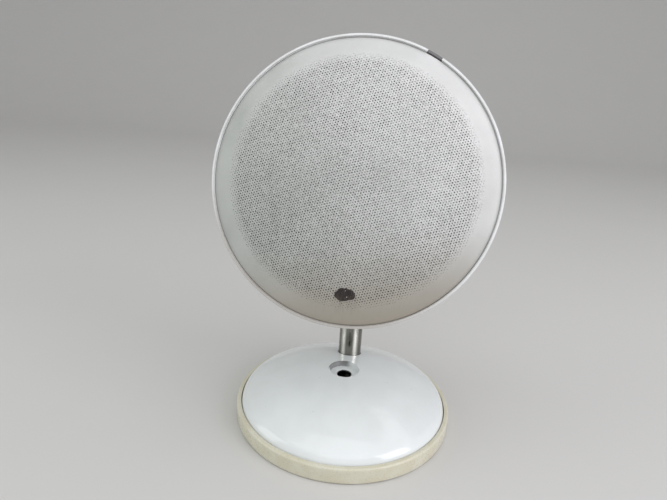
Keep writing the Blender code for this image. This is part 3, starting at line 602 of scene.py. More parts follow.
agedCream = {"light": rgb(0.70, 0.675, 0.550), "dark": rgb(0.655, 0.620, 0.475),
             "grime": rgb(0.30, 0.26, 0.18), "rough": (0.24, 0.38), "lowBandHeight": 1.6}


def creamFinish():
    finish = Finish("aged_cream", coat_weight=0.35, coat_roughness=0.15)
    height = finish.parts(finish.here)[2]
    cloud = finish.noise(finish.here, 15.0, 4.0, 0.6)
    fine = finish.noise(finish.here, 0.9, 3.0)
    tone = finish.mix(finish.span(cloud, 0.35, 0.65), agedCream["dark"], agedCream["light"])
    # the ring is darker in a ragged band along its bottom edge and along a few scuffs
    low = finish.fade(height + (cloud - 0.5) * (4.0 * mm), 0.0, agedCream["lowBandHeight"])
    scuff = finish.span(finish.noise(finish.stretched(finish.here, (1.0, 1.0, 3.0)), 2.6, 4.0),
                        0.60, 0.70)
    finish.paint(finish.mix(low * 0.45 + scuff * 0.07, tone, agedCream["grime"]))
    finish.roughen(finish.span(fine, 0.3, 0.7, *agedCream["rough"]))
    finish.bump(fine, 0.008)
    return finish


shellWhite = {"light": rgb(0.74, 0.75, 0.74), "dark": rgb(0.685, 0.69, 0.665),
              "rough": (0.34, 0.50), "textureSize": 0.42, "textureDepth": 0.022}


def shellFinish():
    finish = Finish("shell_white", coat_weight=0.08)
    cloud = finish.noise(finish.here, 26.0, 4.0)
    texture = finish.noise(finish.here, shellWhite["textureSize"], 2.0)
    smear = finish.noise(finish.stretched(finish.here, (1.0, 1.0, 0.35)), 6.0, 4.0)
    tone = finish.mix(finish.span(cloud * 0.7 + smear * 0.3, 0.36, 0.62), shellWhite["dark"],
                      shellWhite["light"])
    finish.paint(tone)
    finish.roughen(finish.span(texture * 0.5 + smear * 0.5, 0.35, 0.65, *shellWhite["rough"]))
    finish.bump(texture, shellWhite["textureDepth"])
    return finish


finishes["gloss_white"] = glossFinish()
finishes["aged_cream"] = creamFinish()
finishes["shell_white"] = shellFinish()


# the light tone is for painted bright reflections on the stem and the dark tone for painted dark reflections
stemSteel = {"light": rgb(0.80, 0.78, 0.73), "dark": rgb(0.17, 0.16, 0.145),
             "rough": (0.14, 0.24), "lineDepth": 0.004, "streak": 0.53}


def steelFinish():
    finish = Finish("stem_steel", metallic=1.0, anisotropic=0.4)
    lines = finish.noise(finish.stretched(finish.here, (1.0, 1.0, 0.03)), 0.16, 2.0)
    marks = finish.noise(finish.stretched(finish.here, (1.0, 1.0, 0.4)), 5.0, 4.0)
    # two bright streaks are painted reflections, and the steel beside and between them is painted dark as painted
    # dark reflections, with a little random wear
    x = finish.parts(finish.here)[0] / (halfWidth("stem_tube") * mm)
    streak = finish.span(abs(abs(x) - stemSteel["streak"]), 0.04, 0.30, 1.0, 0.0)
    worn = finish.span(lines * 0.4 + marks * 0.6, 0.35, 0.65, 0.0, 0.16)
    finish.paint(finish.mix(streak * 0.84 + worn, stemSteel["dark"], stemSteel["light"]))
    finish.roughen(finish.span(marks * 0.6 + lines * 0.4, 0.35, 0.65, *stemSteel["rough"]))
    finish.bump(lines, stemSteel["lineDepth"])
    return finish


finishes["stem_steel"] = steelFinish()
print("plain finishes made")


# The grille: a domed sheet with staggered holes, fading out before a plain border.

grille = {"radius": halfWidth("grille"), "rise": 8.2, "crown": 411.0, "edge": 1.0, "sheet": 0.8,
          "back": -2.9, "pitch": 1.58, "hole": 0.46, "field": 73.2, "web": 76.0,
          "webSides": 240, "pocket": 0.75, "fadeStart": 0.92, "smallest": 0.50,
          "turn": 18.0, "uneven": 0.38, "seed": 7,
          "light": rgb(0.76, 0.765, 0.755), "dark": rgb(0.54, 0.545, 0.53),
          # shaded and lit copies of the tone paint light and shade across the sheet, and the low tone is a painted
          # warm shade near the foot
          "shaded": (0.67, 0.685, 0.655), "clean": (1.08, 1.065, 1.07),
          "low": rgb(0.355, 0.315, 0.255), "lowShadeReach": (-88.0, -28.0), "lowShadeMost": 0.90,
          "stain": rgb(0.30, 0.27, 0.22), "rough": (0.34, 0.50), "speckle": 0.75,
          "speckleMean": 0.56, "borderStart": 70.0, "borderEnd": 77.0}
smear = {"beside": (3.0, 10.0), "below": (-15.0, -4.0), "above": (-1.0, 6.0), "strength": 0.65,
         "faintBeside": (8.0, 34.0), "faintReach": (-70.0, -30.0), "faint": 0.16}
badge = {"across": boxMiddle("badge_adhesive"), "width": 12.3, "height": 8.4, "thick": 0.6}
badgeSpot = (headFrame.inverted() @ badge["across"]) / mm


def grilleFinish():
    finish = Finish("grille_grey", metallic=0.15, coat_weight=0.1)
    own = finish.seenFrom(headFrame)
    x, y = finish.parts(own)[:2]
    reach = (x * x + y * y).root()
    cloud = finish.noise(own, 30.0, 3.0)
    fine = finish.noise(own, 0.30, 2.0)
    # the speckle stops at the plain border, and a painted warm shade darkens the side near the foot
    field, mean = grille["field"] * mm, grille["speckleMean"]
    speckle = finish.noise(finish.stretched(own, (1.0, 0.6, 1.0)), grille["speckle"], 2.0, 0.7)
    speckle = mean + (speckle - mean) * finish.span(reach, 0.92 * field, 1.03 * field, 1.0, 0.06)
    mottled = finish.span(cloud * 0.18 + speckle * 0.82, 0.40, 0.60)
    # painted light and shade: the tone goes from its shaded copy to its lit copy towards the upper right, and
    # leans to the shaded copy on the plain border
    shadedAndLitTones = [finish.mix(mottled, tinted(grille["dark"], grille[side]),
                        tinted(grille["light"], grille[side])) for side in ("shaded", "clean")]
    border = finish.rise(reach, grille["borderStart"], grille["borderEnd"])
    half = 0.5 * grille["radius"] * mm
    lift = finish.span(x * 0.5 + y * 0.375 - border * (20.0 * mm), -half, half, curve="LINEAR")
    tone = finish.mix(lift, *shadedAndLitTones)
    # a painted warm shade darkens the side near the foot
    low = finish.fade(y - x * 0.22, *grille["lowShadeReach"], grille["lowShadeMost"])
    tone = finish.mix(low, tone, grille["low"])
    # streaks of old glue run down from the badge's patch
    beside, up = abs(x - badgeSpot.x * mm), y - badgeSpot.y * mm
    streak = finish.noise(finish.stretched(own, (1.0, 0.16, 1.0)), 1.7, 4.0, 0.6)
    drips = finish.fade(beside, *smear["beside"]) * finish.rise(up, *smear["below"])
    drips = drips * finish.fade(up, *smear["above"]) * finish.span(streak, 0.40, 0.66)
    faint = finish.fade(beside, *smear["faintBeside"]) * finish.fade(y, *smear["faintReach"])
    faint = faint * finish.span(streak, 0.45, 0.75)
    finish.paint(finish.mix(drips * smear["strength"] + faint * smear["faint"], tone,
                            grille["stain"]))
    finish.roughen(finish.span(cloud * 0.4 + fine * 0.6, 0.35, 0.65, *grille["rough"]))
    finish.bump(fine, 0.006)
    return finish


finishes["grille_grey"] = grilleFinish()


def perforationTree():
    sizes = ("Pitch", "Hole Radius", "Field Radius", "Web Radius", "Pocket Depth", "Fade Start",
             "Smallest Hole", "Unevenness", "Crown Radius", "Crown Height", "Turn")
    network, given = newTree("perforatedSheet",
                             [(size, "Float") for size in sizes]
                             + [("Web Sides", "Int"), ("Seed", "Int"), ("Sheet", "Material"),
                                ("Cloth", "Material")])
    node = network.node
    pitch, field, hole = given["Pitch"], given["Field Radius"], given["Hole Radius"]
    here = node("GeometryNodeInputPosition")

    # a lattice of hole centres whose odd rows are shifted by half a pitch
    rowStep = pitch * (math.sqrt(3.0) / 2.0)
    across = (field / pitch).rounded("CEIL") * 2.0 + 3.0
    rows = (field / rowStep).rounded("CEIL") * 2.0 + 3.0
    grid = node("GeometryNodeMeshGrid", None,
                {"Size X": (across - 1.0) * pitch, "Size Y": (rows - 1.0) * rowStep,
                 "Vertices X": across, "Vertices Y": rows})
    row = (network.parts(here)[1] / rowStep).rounded("ROUND")
    odd = row.maths("FLOORED_MODULO", row, 2.0)
    lattice = node("GeometryNodeSetPosition", None,
                   {"Geometry": grid, "Offset": network.vector(odd * pitch * 0.5, 0.0, 0.0)})

    def inField(*angles):                  # this hole and its neighbours that way all exist
        found = network.length(here) < field
        x, y = network.parts(here)[:2]
        for angle in angles:
            beside = network.vector(x + pitch * math.cos(math.radians(angle)),
                                    y + pitch * math.sin(math.radians(angle)), 0.0)
            found = found * (network.length(beside) < field)
        return found

    def laid(shape, out, angle, turn, neighbours):
        way = math.radians(angle)
        moved = node("GeometryNodeTransform", None,
                     {"Geometry": shape, "Rotation": (0.0, 0.0, math.radians(turn)),
                      "Translation": network.vector(out * math.cos(way), out * math.sin(way),
                                                    0.0)})
        return node("GeometryNodeInstanceOnPoints", None,
                    {"Points": lattice, "Selection": inField(*neighbours), "Instance": moved})

    # the sheet between the holes: a strip towards each neighbour and a triangle among three
    strip = node("GeometryNodeMeshGrid", None,
                 {"Size X": pitch - hole * math.sqrt(3.0), "Size Y": hole, "Vertices X": 2,
                  "Vertices Y": 2})
    corner = node("GeometryNodeMeshCircle", {"fill_type": "NGON"},
                  {"Vertices": 3, "Radius": pitch / math.sqrt(3.0) - hole})
    pieces = [laid(strip, pitch * 0.5, angle, angle, (angle,)) for angle in (0, 60, 120)]
    pieces.append(laid(corner, pitch / math.sqrt(3.0), 30, 90, (0, 60)))
    pieces.append(laid(corner, pitch / math.sqrt(3.0), 90, 30, (60, 120)))
    mouth = node("GeometryNodeMeshCircle", {"fill_type": "NGON"},
                 {"Vertices": 6, "Radius": hole})
    pocket = node("GeometryNodeExtrudeMesh", {"mode": "FACES"},
                  {"Mesh": mouth, "Offset": network.vector(0.0, 0.0, -1.0),
                   "Offset Scale": given["Pocket Depth"]})
    bottom = network.other(pocket, "Top")
    pieces.append(laid(pocket, pitch * 0.0, 0, 30, ()))
    whole = node("GeometryNodeRealizeInstances", None,
                 {0: node("GeometryNodeJoinGeometry", None, {0: pieces})})
    welded = node("GeometryNodeMergeByDistance", None, {0: whole, "Distance": 0.01 * mm})

    # holes near the border shrink about their own centres
    nearest = node("GeometryNodeSampleNearest", {"domain": "POINT"}, {"Geometry": lattice})
    centre = node("GeometryNodeSampleIndex", {"data_type": "FLOAT_VECTOR", "domain": "POINT"},
                  {"Geometry": lattice, "Value": here, "Index": nearest})
    size = network.span(network.length(centre), field * given["Fade Start"], field, 1.0,
                        given["Smallest Hole"])
    shrunk = node("FunctionNodeRandomValue", {"data_type": "FLOAT"},
                  {2: 0.0, 3: given["Unevenness"], "ID": nearest, "Seed": given["Seed"]}, 1)
    size = size * (1.0 - shrunk)
    x, y, z = network.parts(here)
    middleX, middleY = network.parts(centre)[:2]
    faded = node("GeometryNodeSetPosition", None,
                 {"Geometry": welded,
                  "Position": network.vector(middleX + (x - middleX) * size,
                                             middleY + (y - middleY) * size, z)})

    # plain sheet from the outermost holes to the border circle
    faces = node("GeometryNodeInputMeshEdgeNeighbors")
    outline = node("GeometryNodeMeshToCurve", None, {"Mesh": faded, "Selection": faces < 1.5})
    circle = node("GeometryNodeCurvePrimitiveCircle", {"mode": "RADIUS"},
                  {"Resolution": given["Web Sides"], "Radius": given["Web Radius"]})
    border = node("GeometryNodeFillCurve", {"mode": "TRIANGLES"},
                  {"Curve": node("GeometryNodeJoinGeometry", None, {0: [outline, circle]})})
    flat = node("GeometryNodeMergeByDistance", None,
                {0: node("GeometryNodeJoinGeometry", None, {0: [faded, border]}),
                 "Distance": 0.01 * mm})

    turned = node("GeometryNodeTransform", None,
                  {"Geometry": flat, "Rotation": network.vector(0.0, 0.0, given["Turn"])})
    crown = given["Crown Radius"]
    lift = (crown * crown - x * x - y * y).root() - crown + given["Crown Height"]
    domed = node("GeometryNodeSetPosition", None,
                 {"Geometry": turned, "Offset": network.vector(0.0, 0.0, lift)})
    real = node("GeometryNodeRealizeInstances", None, {0: domed})
    sheet = node("GeometryNodeSetMaterial", None,
                 {"Geometry": real, "Material": given["Sheet"]})
    return endTree(network, node("GeometryNodeSetMaterial", None,
                                 {"Geometry": sheet, "Selection": bottom,
                                  "Material": given["Cloth"]}))


def makeGrille():
    values = {"Pitch": grille["pitch"] * mm, "Hole Radius": grille["hole"] * mm,
              "Field Radius": grille["field"] * mm, "Web Radius": grille["web"] * mm,
              "Pocket Depth": grille["pocket"] * mm, "Fade Start": grille["fadeStart"],
              "Smallest Hole": grille["smallest"], "Unevenness": grille["uneven"],
              "Turn": math.radians(grille["turn"]), "Seed": grille["seed"],
              "Crown Radius": grille["crown"] * mm, "Crown Height": grille["rise"] * mm,
              "Web Sides": grille["webSides"],
              "Sheet": finishes["grille_grey"].material,
              "Cloth": finishes["speaker_cloth"].material}
    web = runTree(hostOf(bpy.data.meshes.new("web")), perforationTree(), values)
    sheet = grille["sheet"]
    outside = crowned(grille["rise"], grille["crown"], grille["edge"], grille["radius"],
                      grille["web"], 3, 7)
    inside = crowned(grille["rise"] - sheet, grille["crown"] - sheet, grille["edge"] - sheet,
                     grille["radius"] - sheet, 0.0, 7, 4)
    skirt = softened([outside[-1], (grille["radius"], grille["back"], 0.3),
                      (grille["radius"] - sheet, grille["back"], 0.3), inside[-1]], 2)[1:-1]
    inside[0] = (0.0, inside[0][1])
    shape = lathe(outside + skirt + list(reversed(inside)), grille["webSides"], closed=False)
    shape.from_mesh(web)
    bmesh.ops.remove_doubles(shape, verts=shape.verts, dist=0.01 * mm)
    mesh = meshOf(shape)
    for material in web.materials:
        mesh.materials.append(material)
    print("grille:", len(mesh.polygons), "faces")
    return addPiece("grilleSheet", mesh, [], "head", ["grille"], headFrame, 28.0)


makeGrille()


# The badge's dried glue: a lumpy patch with a few white specks of old tape.

glue = {"light": rgb(0.060, 0.043, 0.034), "dark": rgb(0.014, 0.010, 0.009),
        "speck": rgb(0.78, 0.76, 0.70), "rough": (0.30, 0.62), "rings": 26, "sides": 96,
        "waves": ((0.24, 1.9, 0.6, 0.0), (0.20, 3.1, -1.1, 1.0), (0.16, 0.0, 2.7, 0.8))}


def glueFinish():
    finish = Finish("old_adhesive")
    own = finish.seenFrom(headFrame)
    strokes = finish.noise(finish.stretched(own, (1.0, 0.4, 1.0)), 1.1, 4.0, 0.65)
    specks = finish.span(finish.cells(own, 1.7), 0.13, 0.19, 1.0, 0.0)
    few = finish.span(finish.noise(own, 3.6, 2.0), 0.52, 0.60)
    tone = finish.mix(finish.span(strokes, 0.38, 0.68), glue["dark"], glue["light"])
    finish.paint(finish.mix(specks * few, tone, glue["speck"]))
    finish.roughen(finish.span(strokes, 0.3, 0.7, *glue["rough"]))
    finish.bump(strokes, 0.12)
    return finish


finishes["old_adhesive"] = glueFinish()


def ripple(angle, terms):
    return sum(size * math.sin(count * angle + phase) for count, size, phase in terms)


def makeGlue():
    edgeTerms = ((2, 0.05, 0.7), (3, 0.045, 2.1), (5, 0.03, 4.0), (9, 0.018, 1.0))
    lumpTerms = ((4, 0.30, 0.4), (7, 0.22, 1.9), (11, 0.14, 3.3))
    thick = badge["thick"]
    crown, rise = grille["crown"], grille["rise"]

    def onDome(x, y, above):
        across, up = badgeSpot.x + x, badgeSpot.y + y
        level = rise - crown + math.sqrt(crown ** 2 - across ** 2 - up ** 2)
        return Vector((across, up, level + above)) * mm

    shape = bmesh.new()
    layers = []
    for ring in range(glue["rings"] + 1):
        share = ring / glue["rings"]
        layer = []
        for i in range(glue["sides"]):
            angle = 2 * math.pi * i / glue["sides"]
            reach = share * (0.93 + ripple(angle, edgeTerms))
            x = badge["width"] / 2 * reach * math.cos(angle)
            y = badge["height"] / 2 * reach * math.sin(angle)
            lump = sum(size * math.sin(across * x + up * y + phase)
                       for size, across, up, phase in glue["waves"])
            lump += 0.1 * ripple(angle, lumpTerms) * share
            body = math.sqrt(max(0.0, 1.0 - share ** 6))
            layer.append(shape.verts.new(onDome(x, y, gap + thick * body * (0.62 + 0.55 * lump))))
            if ring == 0:
                break
        layers.append(layer * (glue["sides"] if ring == 0 else 1))
    under = []
    for i in range(glue["sides"]):
        angle = 2 * math.pi * i / glue["sides"]
        reach = 0.985 * (0.93 + ripple(angle, edgeTerms))
        under.append(shape.verts.new(onDome(badge["width"] / 2 * reach * math.cos(angle),
                                            badge["height"] / 2 * reach * math.sin(angle),
                                            gap * 0.2)))
    layers.append(under)
    for upper, lower in zip(layers, layers[1:]):
        for i in range(glue["sides"]):
            j = (i + 1) % glue["sides"]
            corners = list(dict.fromkeys((upper[i], lower[i], lower[j], upper[j])))
            shape.faces.new(corners)
    shape.faces.new(under)
    return addPiece("gluePatch", shape, [finishes["old_adhesive"]], "head",
                    ["badge_adhesive"], headFrame, 60.0)


makeGlue()
print("grille and glue patch made")


# The trim ring: a bright lip round the grille, with a slot to pry the grille out.

trim = {"radius": halfWidth("trim_ring"), "lip": 1.45, "groove": -0.5, "seat": 79.5,
        "seatLow": -4.7, "seatThick": 1.5, "baffleClear": 82.0, "sides": 288, "slotAngle": 27.5,
        "slotLength": 9.5, "slotDepth": 4.0, "slotDrop": 0.9, "light": rgb(0.86, 0.87, 0.87),
        # the dark tone for the groove and slot is painted shade, and the low tone is a painted warm shade at the
        # lower left
        "dark": rgb(0.78, 0.785, 0.77), "grime": rgb(0.085, 0.080, 0.085),
        "low": rgb(0.40, 0.36, 0.31), "lowShadeReach": (-86.0, -10.0), "lowShadeMost": 0.7,
        "rough": (0.16, 0.30)}


def trimFinish():
    finish = Finish("trim_white", coat_weight=0.4, coat_roughness=0.08)
    own = finish.seenFrom(headFrame)
    x, y, z = finish.parts(own)
    cloud = finish.noise(own, 12.0, 4.0)
    fine = finish.noise(own, 0.8, 3.0)
    tone = finish.mix(finish.span(cloud, 0.35, 0.65), trim["dark"], trim["light"])
    # painted warm shade darkens the lower left of the ring
    low = finish.fade(y + x * 0.3, *trim["lowShadeReach"], trim["lowShadeMost"])
    tone = finish.mix(low, tone, trim["low"])
    # painted shade: the groove along the grille's edge and the slot's floor are painted dark
    inner = trim["radius"] - trim["lip"]
    ragged = (x * x + y * y).root() + (fine - 0.5) * (0.6 * mm)
    groove = finish.fade(ragged, inner + 0.05, inner + 0.45)
    angle = math.radians(trim["slotAngle"])
    along = x * math.cos(angle) - y * math.sin(angle)
    toward = x * math.sin(angle) + y * math.cos(angle)
    slot = finish.fade(abs(along), trim["slotLength"] / 2, trim["slotLength"] / 2 + 0.4)
    slot = slot * (toward > 0.0) * finish.fade(abs(z + trim["slotDrop"] * mm), 1.1, 1.4)
    finish.paint(finish.mix(groove * 0.12 + slot * 0.88, tone, trim["grime"]))
    finish.roughen(finish.span(fine, 0.3, 0.7, *trim["rough"]))
    finish.bump(fine, 0.004)
    return finish


finishes["trim_white"] = trimFinish()


def makeTrim():
    radius, inner = trim["radius"], trim["radius"] - trim["lip"]
    seatTop = trim["seatLow"] + trim["seatThick"]
    profile = softened([(inner, trimFront, 0.4), (radius, trimFront, 0.7),
                        (radius, trimBack, 0.3), (trim["baffleClear"], trimBack, 0.2),
                        (trim["baffleClear"], trim["seatLow"], 0.1),
                        (trim["seat"], trim["seatLow"], 0.3),
                        (trim["seat"], seatTop, 0.3), (inner - 0.25, seatTop, 0.1),
                        (inner - 0.25, trim["groove"], 0.1), (inner, trim["groove"], 0.1)])
    near = inner - 1.0
    slot = slab(roundedBox((-trim["slotLength"] / 2, near),
                           (trim["slotLength"] / 2, near + trim["slotDepth"]), 0.6),
                trimFront - trim["slotDrop"], 4.0)
    turnedTo(slot, "Z", -trim["slotAngle"])
    mesh = combined(meshOf(lathe(profile, trim["sides"])), [("DIFFERENCE", slot)])
    return addPiece("trimRing", mesh, [finishes["trim_white"]], "head",
                    ["trim_ring"], headFrame)


makeTrim()


# The rear shell: a round casing with a soft rear curve, bosses inside and the rear panel's holes.

shell = {"radius": halfWidth("rear_shell"), "sides": 224, "wall": 3.0, "rim": -7.0,
         "ledge": 79.5, "ledgeHeight": -11.6, "sideEnd": -14.0, "rear": -56.0,
         "rearRadius": 38.0, "bosses": 6, "bossCircle": 75.0, "bossRadius": 3.8,
         "bossTop": -9.3, "bracketScrews": ((-15.5, -10.5), (15.5, -10.5), (-15.5, -32.5),
                                            (15.5, -32.5)),
         "boardPosts": ((-26.0, 22.0), (26.0, 22.0), (-26.0, 56.0), (26.0, 56.0)),
         "boardBack": -38.0, "jack": (14.0, 24.0), "jackHole": 5.0, "button": (-14.0, 24.0),
         "buttonHole": 4.4, "screwPost": 4.0, "screwPostTop": -49.2, "screwHole": 1.7,
         "screwHoleTop": -50.8, "boardPost": 2.5, "sidePostBack": -45.0, "pilot": 1.6,
         "pilotEnds": (-24.0, -7.0)}


def makeShell():
    radius, wall = shell["radius"], shell["wall"]
    across, deep = radius - shell["rearRadius"], shell["sideEnd"] - shell["rear"]
    corner = (shell["rearRadius"], shell["sideEnd"])
    outer = arc(corner, across, 0.0, -90.0, 34, deep / across)
    width = shell["ledge"] - shell["rearRadius"]
    inner = arc(corner, width, -90.0, 0.0, 20, (deep - wall) / width)
    lip = radius - wall
    rim = softened([inner[-1], (shell["ledge"], shell["ledgeHeight"], 0.3),
                    (lip, shell["ledgeHeight"], 0.3), (lip, shell["rim"], 0.4),
                    (radius, shell["rim"], 0.5), outer[0]], 3)[1:-1]
    floor = shell["rear"] + wall
    profile = [(0.0, floor)] + inner + rim + outer + [(0.0, shell["rear"])]
    steps = []
    spots = ringPlaces(shell["bosses"], shell["bossCircle"])
    bosses = [rod(shell["bossRadius"], -30.0, shell["bossTop"], spot) for spot in spots]
    bosses += [rod(shell["screwPost"], floor - 1.0, shell["screwPostTop"], spot)
               for spot in shell["bracketScrews"]]
    for spot in shell["boardPosts"]:
        deepEnd = floor - 1.0 if math.hypot(*spot) < shell["rearRadius"] else shell["sidePostBack"]
        bosses.append(rod(shell["boardPost"], deepEnd, shell["boardBack"] - gap, spot))
    steps.append(("UNION", joined(bosses)))
    low = shell["rear"] - 2.0
    holes = [rod(shell["pilot"], *shell["pilotEnds"], spot) for spot in spots]
    holes += [rod(shell["screwHole"], low, shell["screwHoleTop"], spot)
              for spot in shell["bracketScrews"]]
    holes.append(rod(shell["jackHole"], low, floor + 2.0, shell["jack"], 64))
    holes.append(rod(shell["buttonHole"], low, floor + 2.0, shell["button"], 64))
    steps.append(("DIFFERENCE", joined(holes)))
    mesh = combined(meshOf(lathe(profile, shell["sides"])), steps)
    return addPiece("rearShell", mesh, [finishes["shell_white"]], "head",
                    ["rear_shell"], headFrame)


makeShell()
print("trim ring and rear shell made")


# The base: a glossy dome with a sunk fixing bore, a yellowed foot ring and a ballast plate.

base = {"domeRadius": halfWidth("base_dome"), "apex": 32.5, "crown": 150.0, "edge": 9.0,
        "wall": 2.5, "rim": 8.3, "recess": 10.5, "recessDepth": 4.0, "bore": 5.0, "sides": 256,
        "screwCircle": 52.0, "footRadius": halfWidth("foot_ring"), "footHeight": 11.0,
        "plateRadius": halfWidth("base_plate"), "plateLow": 1.0, "plateHigh": 5.0,
        "plateBore": 4.0, "screwHole": (1.8, 3.6, 2.0), "stemHole": (3.4, 6.6, 2.4),
        "post": 4.5, "postTop": 20.8, "pilot": 1.6, "pilotTop": 16.0, "stemSeat": 15.0,
        "seatRadius": 66.0}


def makeDome():
    radius, wall, recess = base["domeRadius"], base["wall"], base["recess"]
    outside = crowned(base["apex"], base["crown"], base["edge"], radius, recess, 30, 14)
    floor = outside[0][1] - base["recessDepth"]
    inside = crowned(base["apex"] - wall, base["crown"] - wall, base["edge"] - wall,
                     radius - wall, recess + wall, 12, 8)
    corners = [(recess, floor, 1.0), (*outside[0], 0.9), *outside[1:],
               (radius, base["rim"], 0.4), (radius - wall, base["rim"], 0.4),
               *reversed(inside), (recess + wall, floor - wall, 1.5),
               (base["bore"], floor - 1.2, 0.3), (base["bore"], floor, 0.4)]
    profile = softened(corners[1:] + corners[:1])
    spots = ringPlaces(4, base["screwCircle"], 45.0)
    posts = joined([rod(base["post"], base["plateHigh"] + gap, base["postTop"], spot)
                    for spot in spots])
    pilots = joined([rod(base["pilot"], base["plateHigh"] - 2.0, base["pilotTop"], spot)
                     for spot in spots])
    stem = rod(halfWidth("stem_tube") + gap, base["stemSeat"], base["apex"] + 4.0,
               (stemPlace.x / mm, stemPlace.y / mm), 96)
    mesh = combined(meshOf(lathe(profile, base["sides"])),
                    [("UNION", posts), ("DIFFERENCE", pilots), ("DIFFERENCE", stem)])
    return addPiece("baseDome", mesh, [finishes["gloss_white"]], "base",
                    ["base_dome"])


def makeFoot():
    clear, plate = base["domeRadius"] + gap, base["plateRadius"] + gap
    seat = base["rim"] - gap
    profile = softened([(clear, base["footHeight"], 0.5),
                        (base["footRadius"], base["footHeight"], 2.6),
                        (base["footRadius"], 0.0, 1.4), (plate, 0.0, 0.6),
                        (plate, base["plateHigh"] + gap, 0.2),
                        (base["seatRadius"], base["plateHigh"] + gap, 0.3),
                        (base["seatRadius"], seat, 0.3),
                        (clear, seat, 0.2)])
    return addPiece("footRing", lathe(profile, base["sides"]), [finishes["aged_cream"]],
                    "base", ["foot_ring"])


def makePlate():
    low, high = base["plateLow"], base["plateHigh"]
    bore = base["plateBore"]
    profile = softened([(bore, high, 0.4), (base["plateRadius"], high, 0.5),
                        (base["plateRadius"], low, 0.5), (bore, low, 0.4)], 3)
    spots = ringPlaces(4, base["screwCircle"], 45.0)
    stem = (stemPlace.x / mm, stemPlace.y / mm)
    cutters = []
    for spot in spots + [stem]:
        hole, sink, depth = base["stemHole" if spot is stem else "screwHole"]
        cutter = lathe([(0.0, high + 1.0), (hole, high + 1.0), (hole, low + depth),
                        (sink, low + depth), (sink, low - 1.0), (0.0, low - 1.0)], 48)
        bmesh.ops.translate(cutter, verts=cutter.verts, vec=Vector((*spot, 0.0)) * mm)
        cutters.append(cutter)
    mesh = combined(meshOf(lathe(profile, 160)), [("DIFFERENCE", joined(cutters))])
    return addPiece("ballastPlate", mesh, [finishes["ballast_steel"]], "base",
                    ["base_plate"])


makeDome()
makeFoot()
makePlate()
print("base made")


# The stem, its swivel neck and the clamped tilt joint.

stem = {"radius": halfWidth("stem_tube"), "bore": 7.0, "bottom": 8.6, "top": 108.0, "sides": 96,
        "stopHeight": 98.0, "stopHole": 1.7}
neck = {"spigot": 5.75, "collarLow": 1.4, "collarHeight": 3.6, "spigotEnd": -22.0,
        "tangHalf": 4.0, "stalkHalf": 6.0, "eye": 8.0, "pivot": 20.0, "bore": 2.8,
        "flat": 2.9, "flatHalf": 2.5}
bracket = {"earInner": 5.1, "earOuter": 9.1, "earRadius": 8.5, "halfWidth": 20.0, "low": -38.0,
           "high": -5.0, "thick": 2.0, "corner": 3.0, "pin": 2.5, "screwHole": 1.8}
pivot = {"head": 4.6, "headHeight": 3.6, "socket": 2.3, "socketDepth": 2.0, "tail": 4.4,
         "nut": 4.9, "washer": 7.0}
sideOn = Matrix(((0, 0, 1, 0), (1, 0, 0, 0), (0, 1, 0, 0), (0, 0, 0, 1)))    # X, Y, Z to Y, Z, X


def makeStem():
    profile = softened([(stem["bore"], stem["top"], 0.3), (stem["radius"], stem["top"], 0.5),
                        (stem["radius"], stem["bottom"], 0.3),
                        (stem["bore"], stem["bottom"], 0.2)])
    hole = turnedTo(rod(stem["stopHole"], 2.0, 12.0), "X", -90.0, (0.0, 0.0, stem["stopHeight"]))
    mesh = combined(meshOf(lathe(profile, stem["sides"])), [("DIFFERENCE", hole)])
    return addPiece("stemTube", mesh, [finishes["stem_steel"]], "base",
                    ["stem_tube"], stemFrame)


def makeNeck():
    low = neck["collarLow"]
    high = low + neck["collarHeight"]
    radius = stem["radius"]
    profile = softened([(0.0, high), (radius, high, 1.0), (radius, low, 0.3),
                        (neck["spigot"], low, 0.1), (neck["spigot"], neck["spigotEnd"], 0.5),
                        (0.0, neck["spigotEnd"])])
    half, eye, up = neck["stalkHalf"], neck["eye"], neck["pivot"]
    lean = math.degrees(math.acos(half / eye))
    outline = [(half, high - 1.0)] + arc((0.0, up), eye, -lean, 180.0 + lean, 40)
    outline += [(-half, high - 1.0)]
    tang = slab(outline, -neck["tangHalf"], neck["tangHalf"], 0.35)
    bmesh.ops.transform(tang, verts=tang.verts, matrix=sideOn)
    bore = turnedTo(rod(neck["bore"], -6.0, 6.0, segments=48), "Y", 90.0, (0.0, 0.0, up))
    stop = stem["stopHeight"] - stem["top"]
    flat = slab(roundedBox((-8.0, neck["flat"]), (8.0, 8.0), 0.2), stop - neck["flatHalf"],
                stop + neck["flatHalf"])
    mesh = combined(meshOf(lathe(profile, stem["sides"])),
                    [("UNION", tang), ("DIFFERENCE", bore), ("DIFFERENCE", flat)])
    return addPiece("swivelNeck", mesh, [finishes["stem_steel"]], "neck",
                    ["swivel_neck"], swivelFrame)


def makeBracket():
    rear = shell["rear"] - gap
    back = rear - bracket["thick"]
    wide = bracket["halfWidth"]
    plate = slab(roundedBox((-wide, bracket["low"]), (wide, bracket["high"]), bracket["corner"]),
                 back, rear, 0.35)
    up, out = pivotInHead.y, pivotInHead.z
    radius = bracket["earRadius"]
    ears = []
    for side in (-1.0, 1.0):
        outline = [(up - radius, back + 1.0)] + arc((up, out), radius, 180.0, 360.0, 36)
        outline += [(up + radius, back + 1.0)]
        near, far = sorted((side * bracket["earInner"], side * bracket["earOuter"]))
        ear = slab(outline, near, far, 0.35)
        bmesh.ops.transform(ear, verts=ear.verts, matrix=sideOn)
        ears.append(ear)
    bore = turnedTo(rod(neck["bore"], -12.0, 12.0, segments=48), "Y", 90.0, (0.0, up, out))
    holes = joined([rod(bracket["screwHole"], back - 1.0, rear + 1.0, spot)
                    for spot in shell["bracketScrews"]])
    mesh = combined(meshOf(plate), [("UNION", joined(ears)), ("DIFFERENCE", bore),
                                    ("DIFFERENCE", holes)])
    return addPiece("tiltBracket", mesh, [finishes["black_steel"]], "head",
                    ["tilt_bracket"], headFrame)


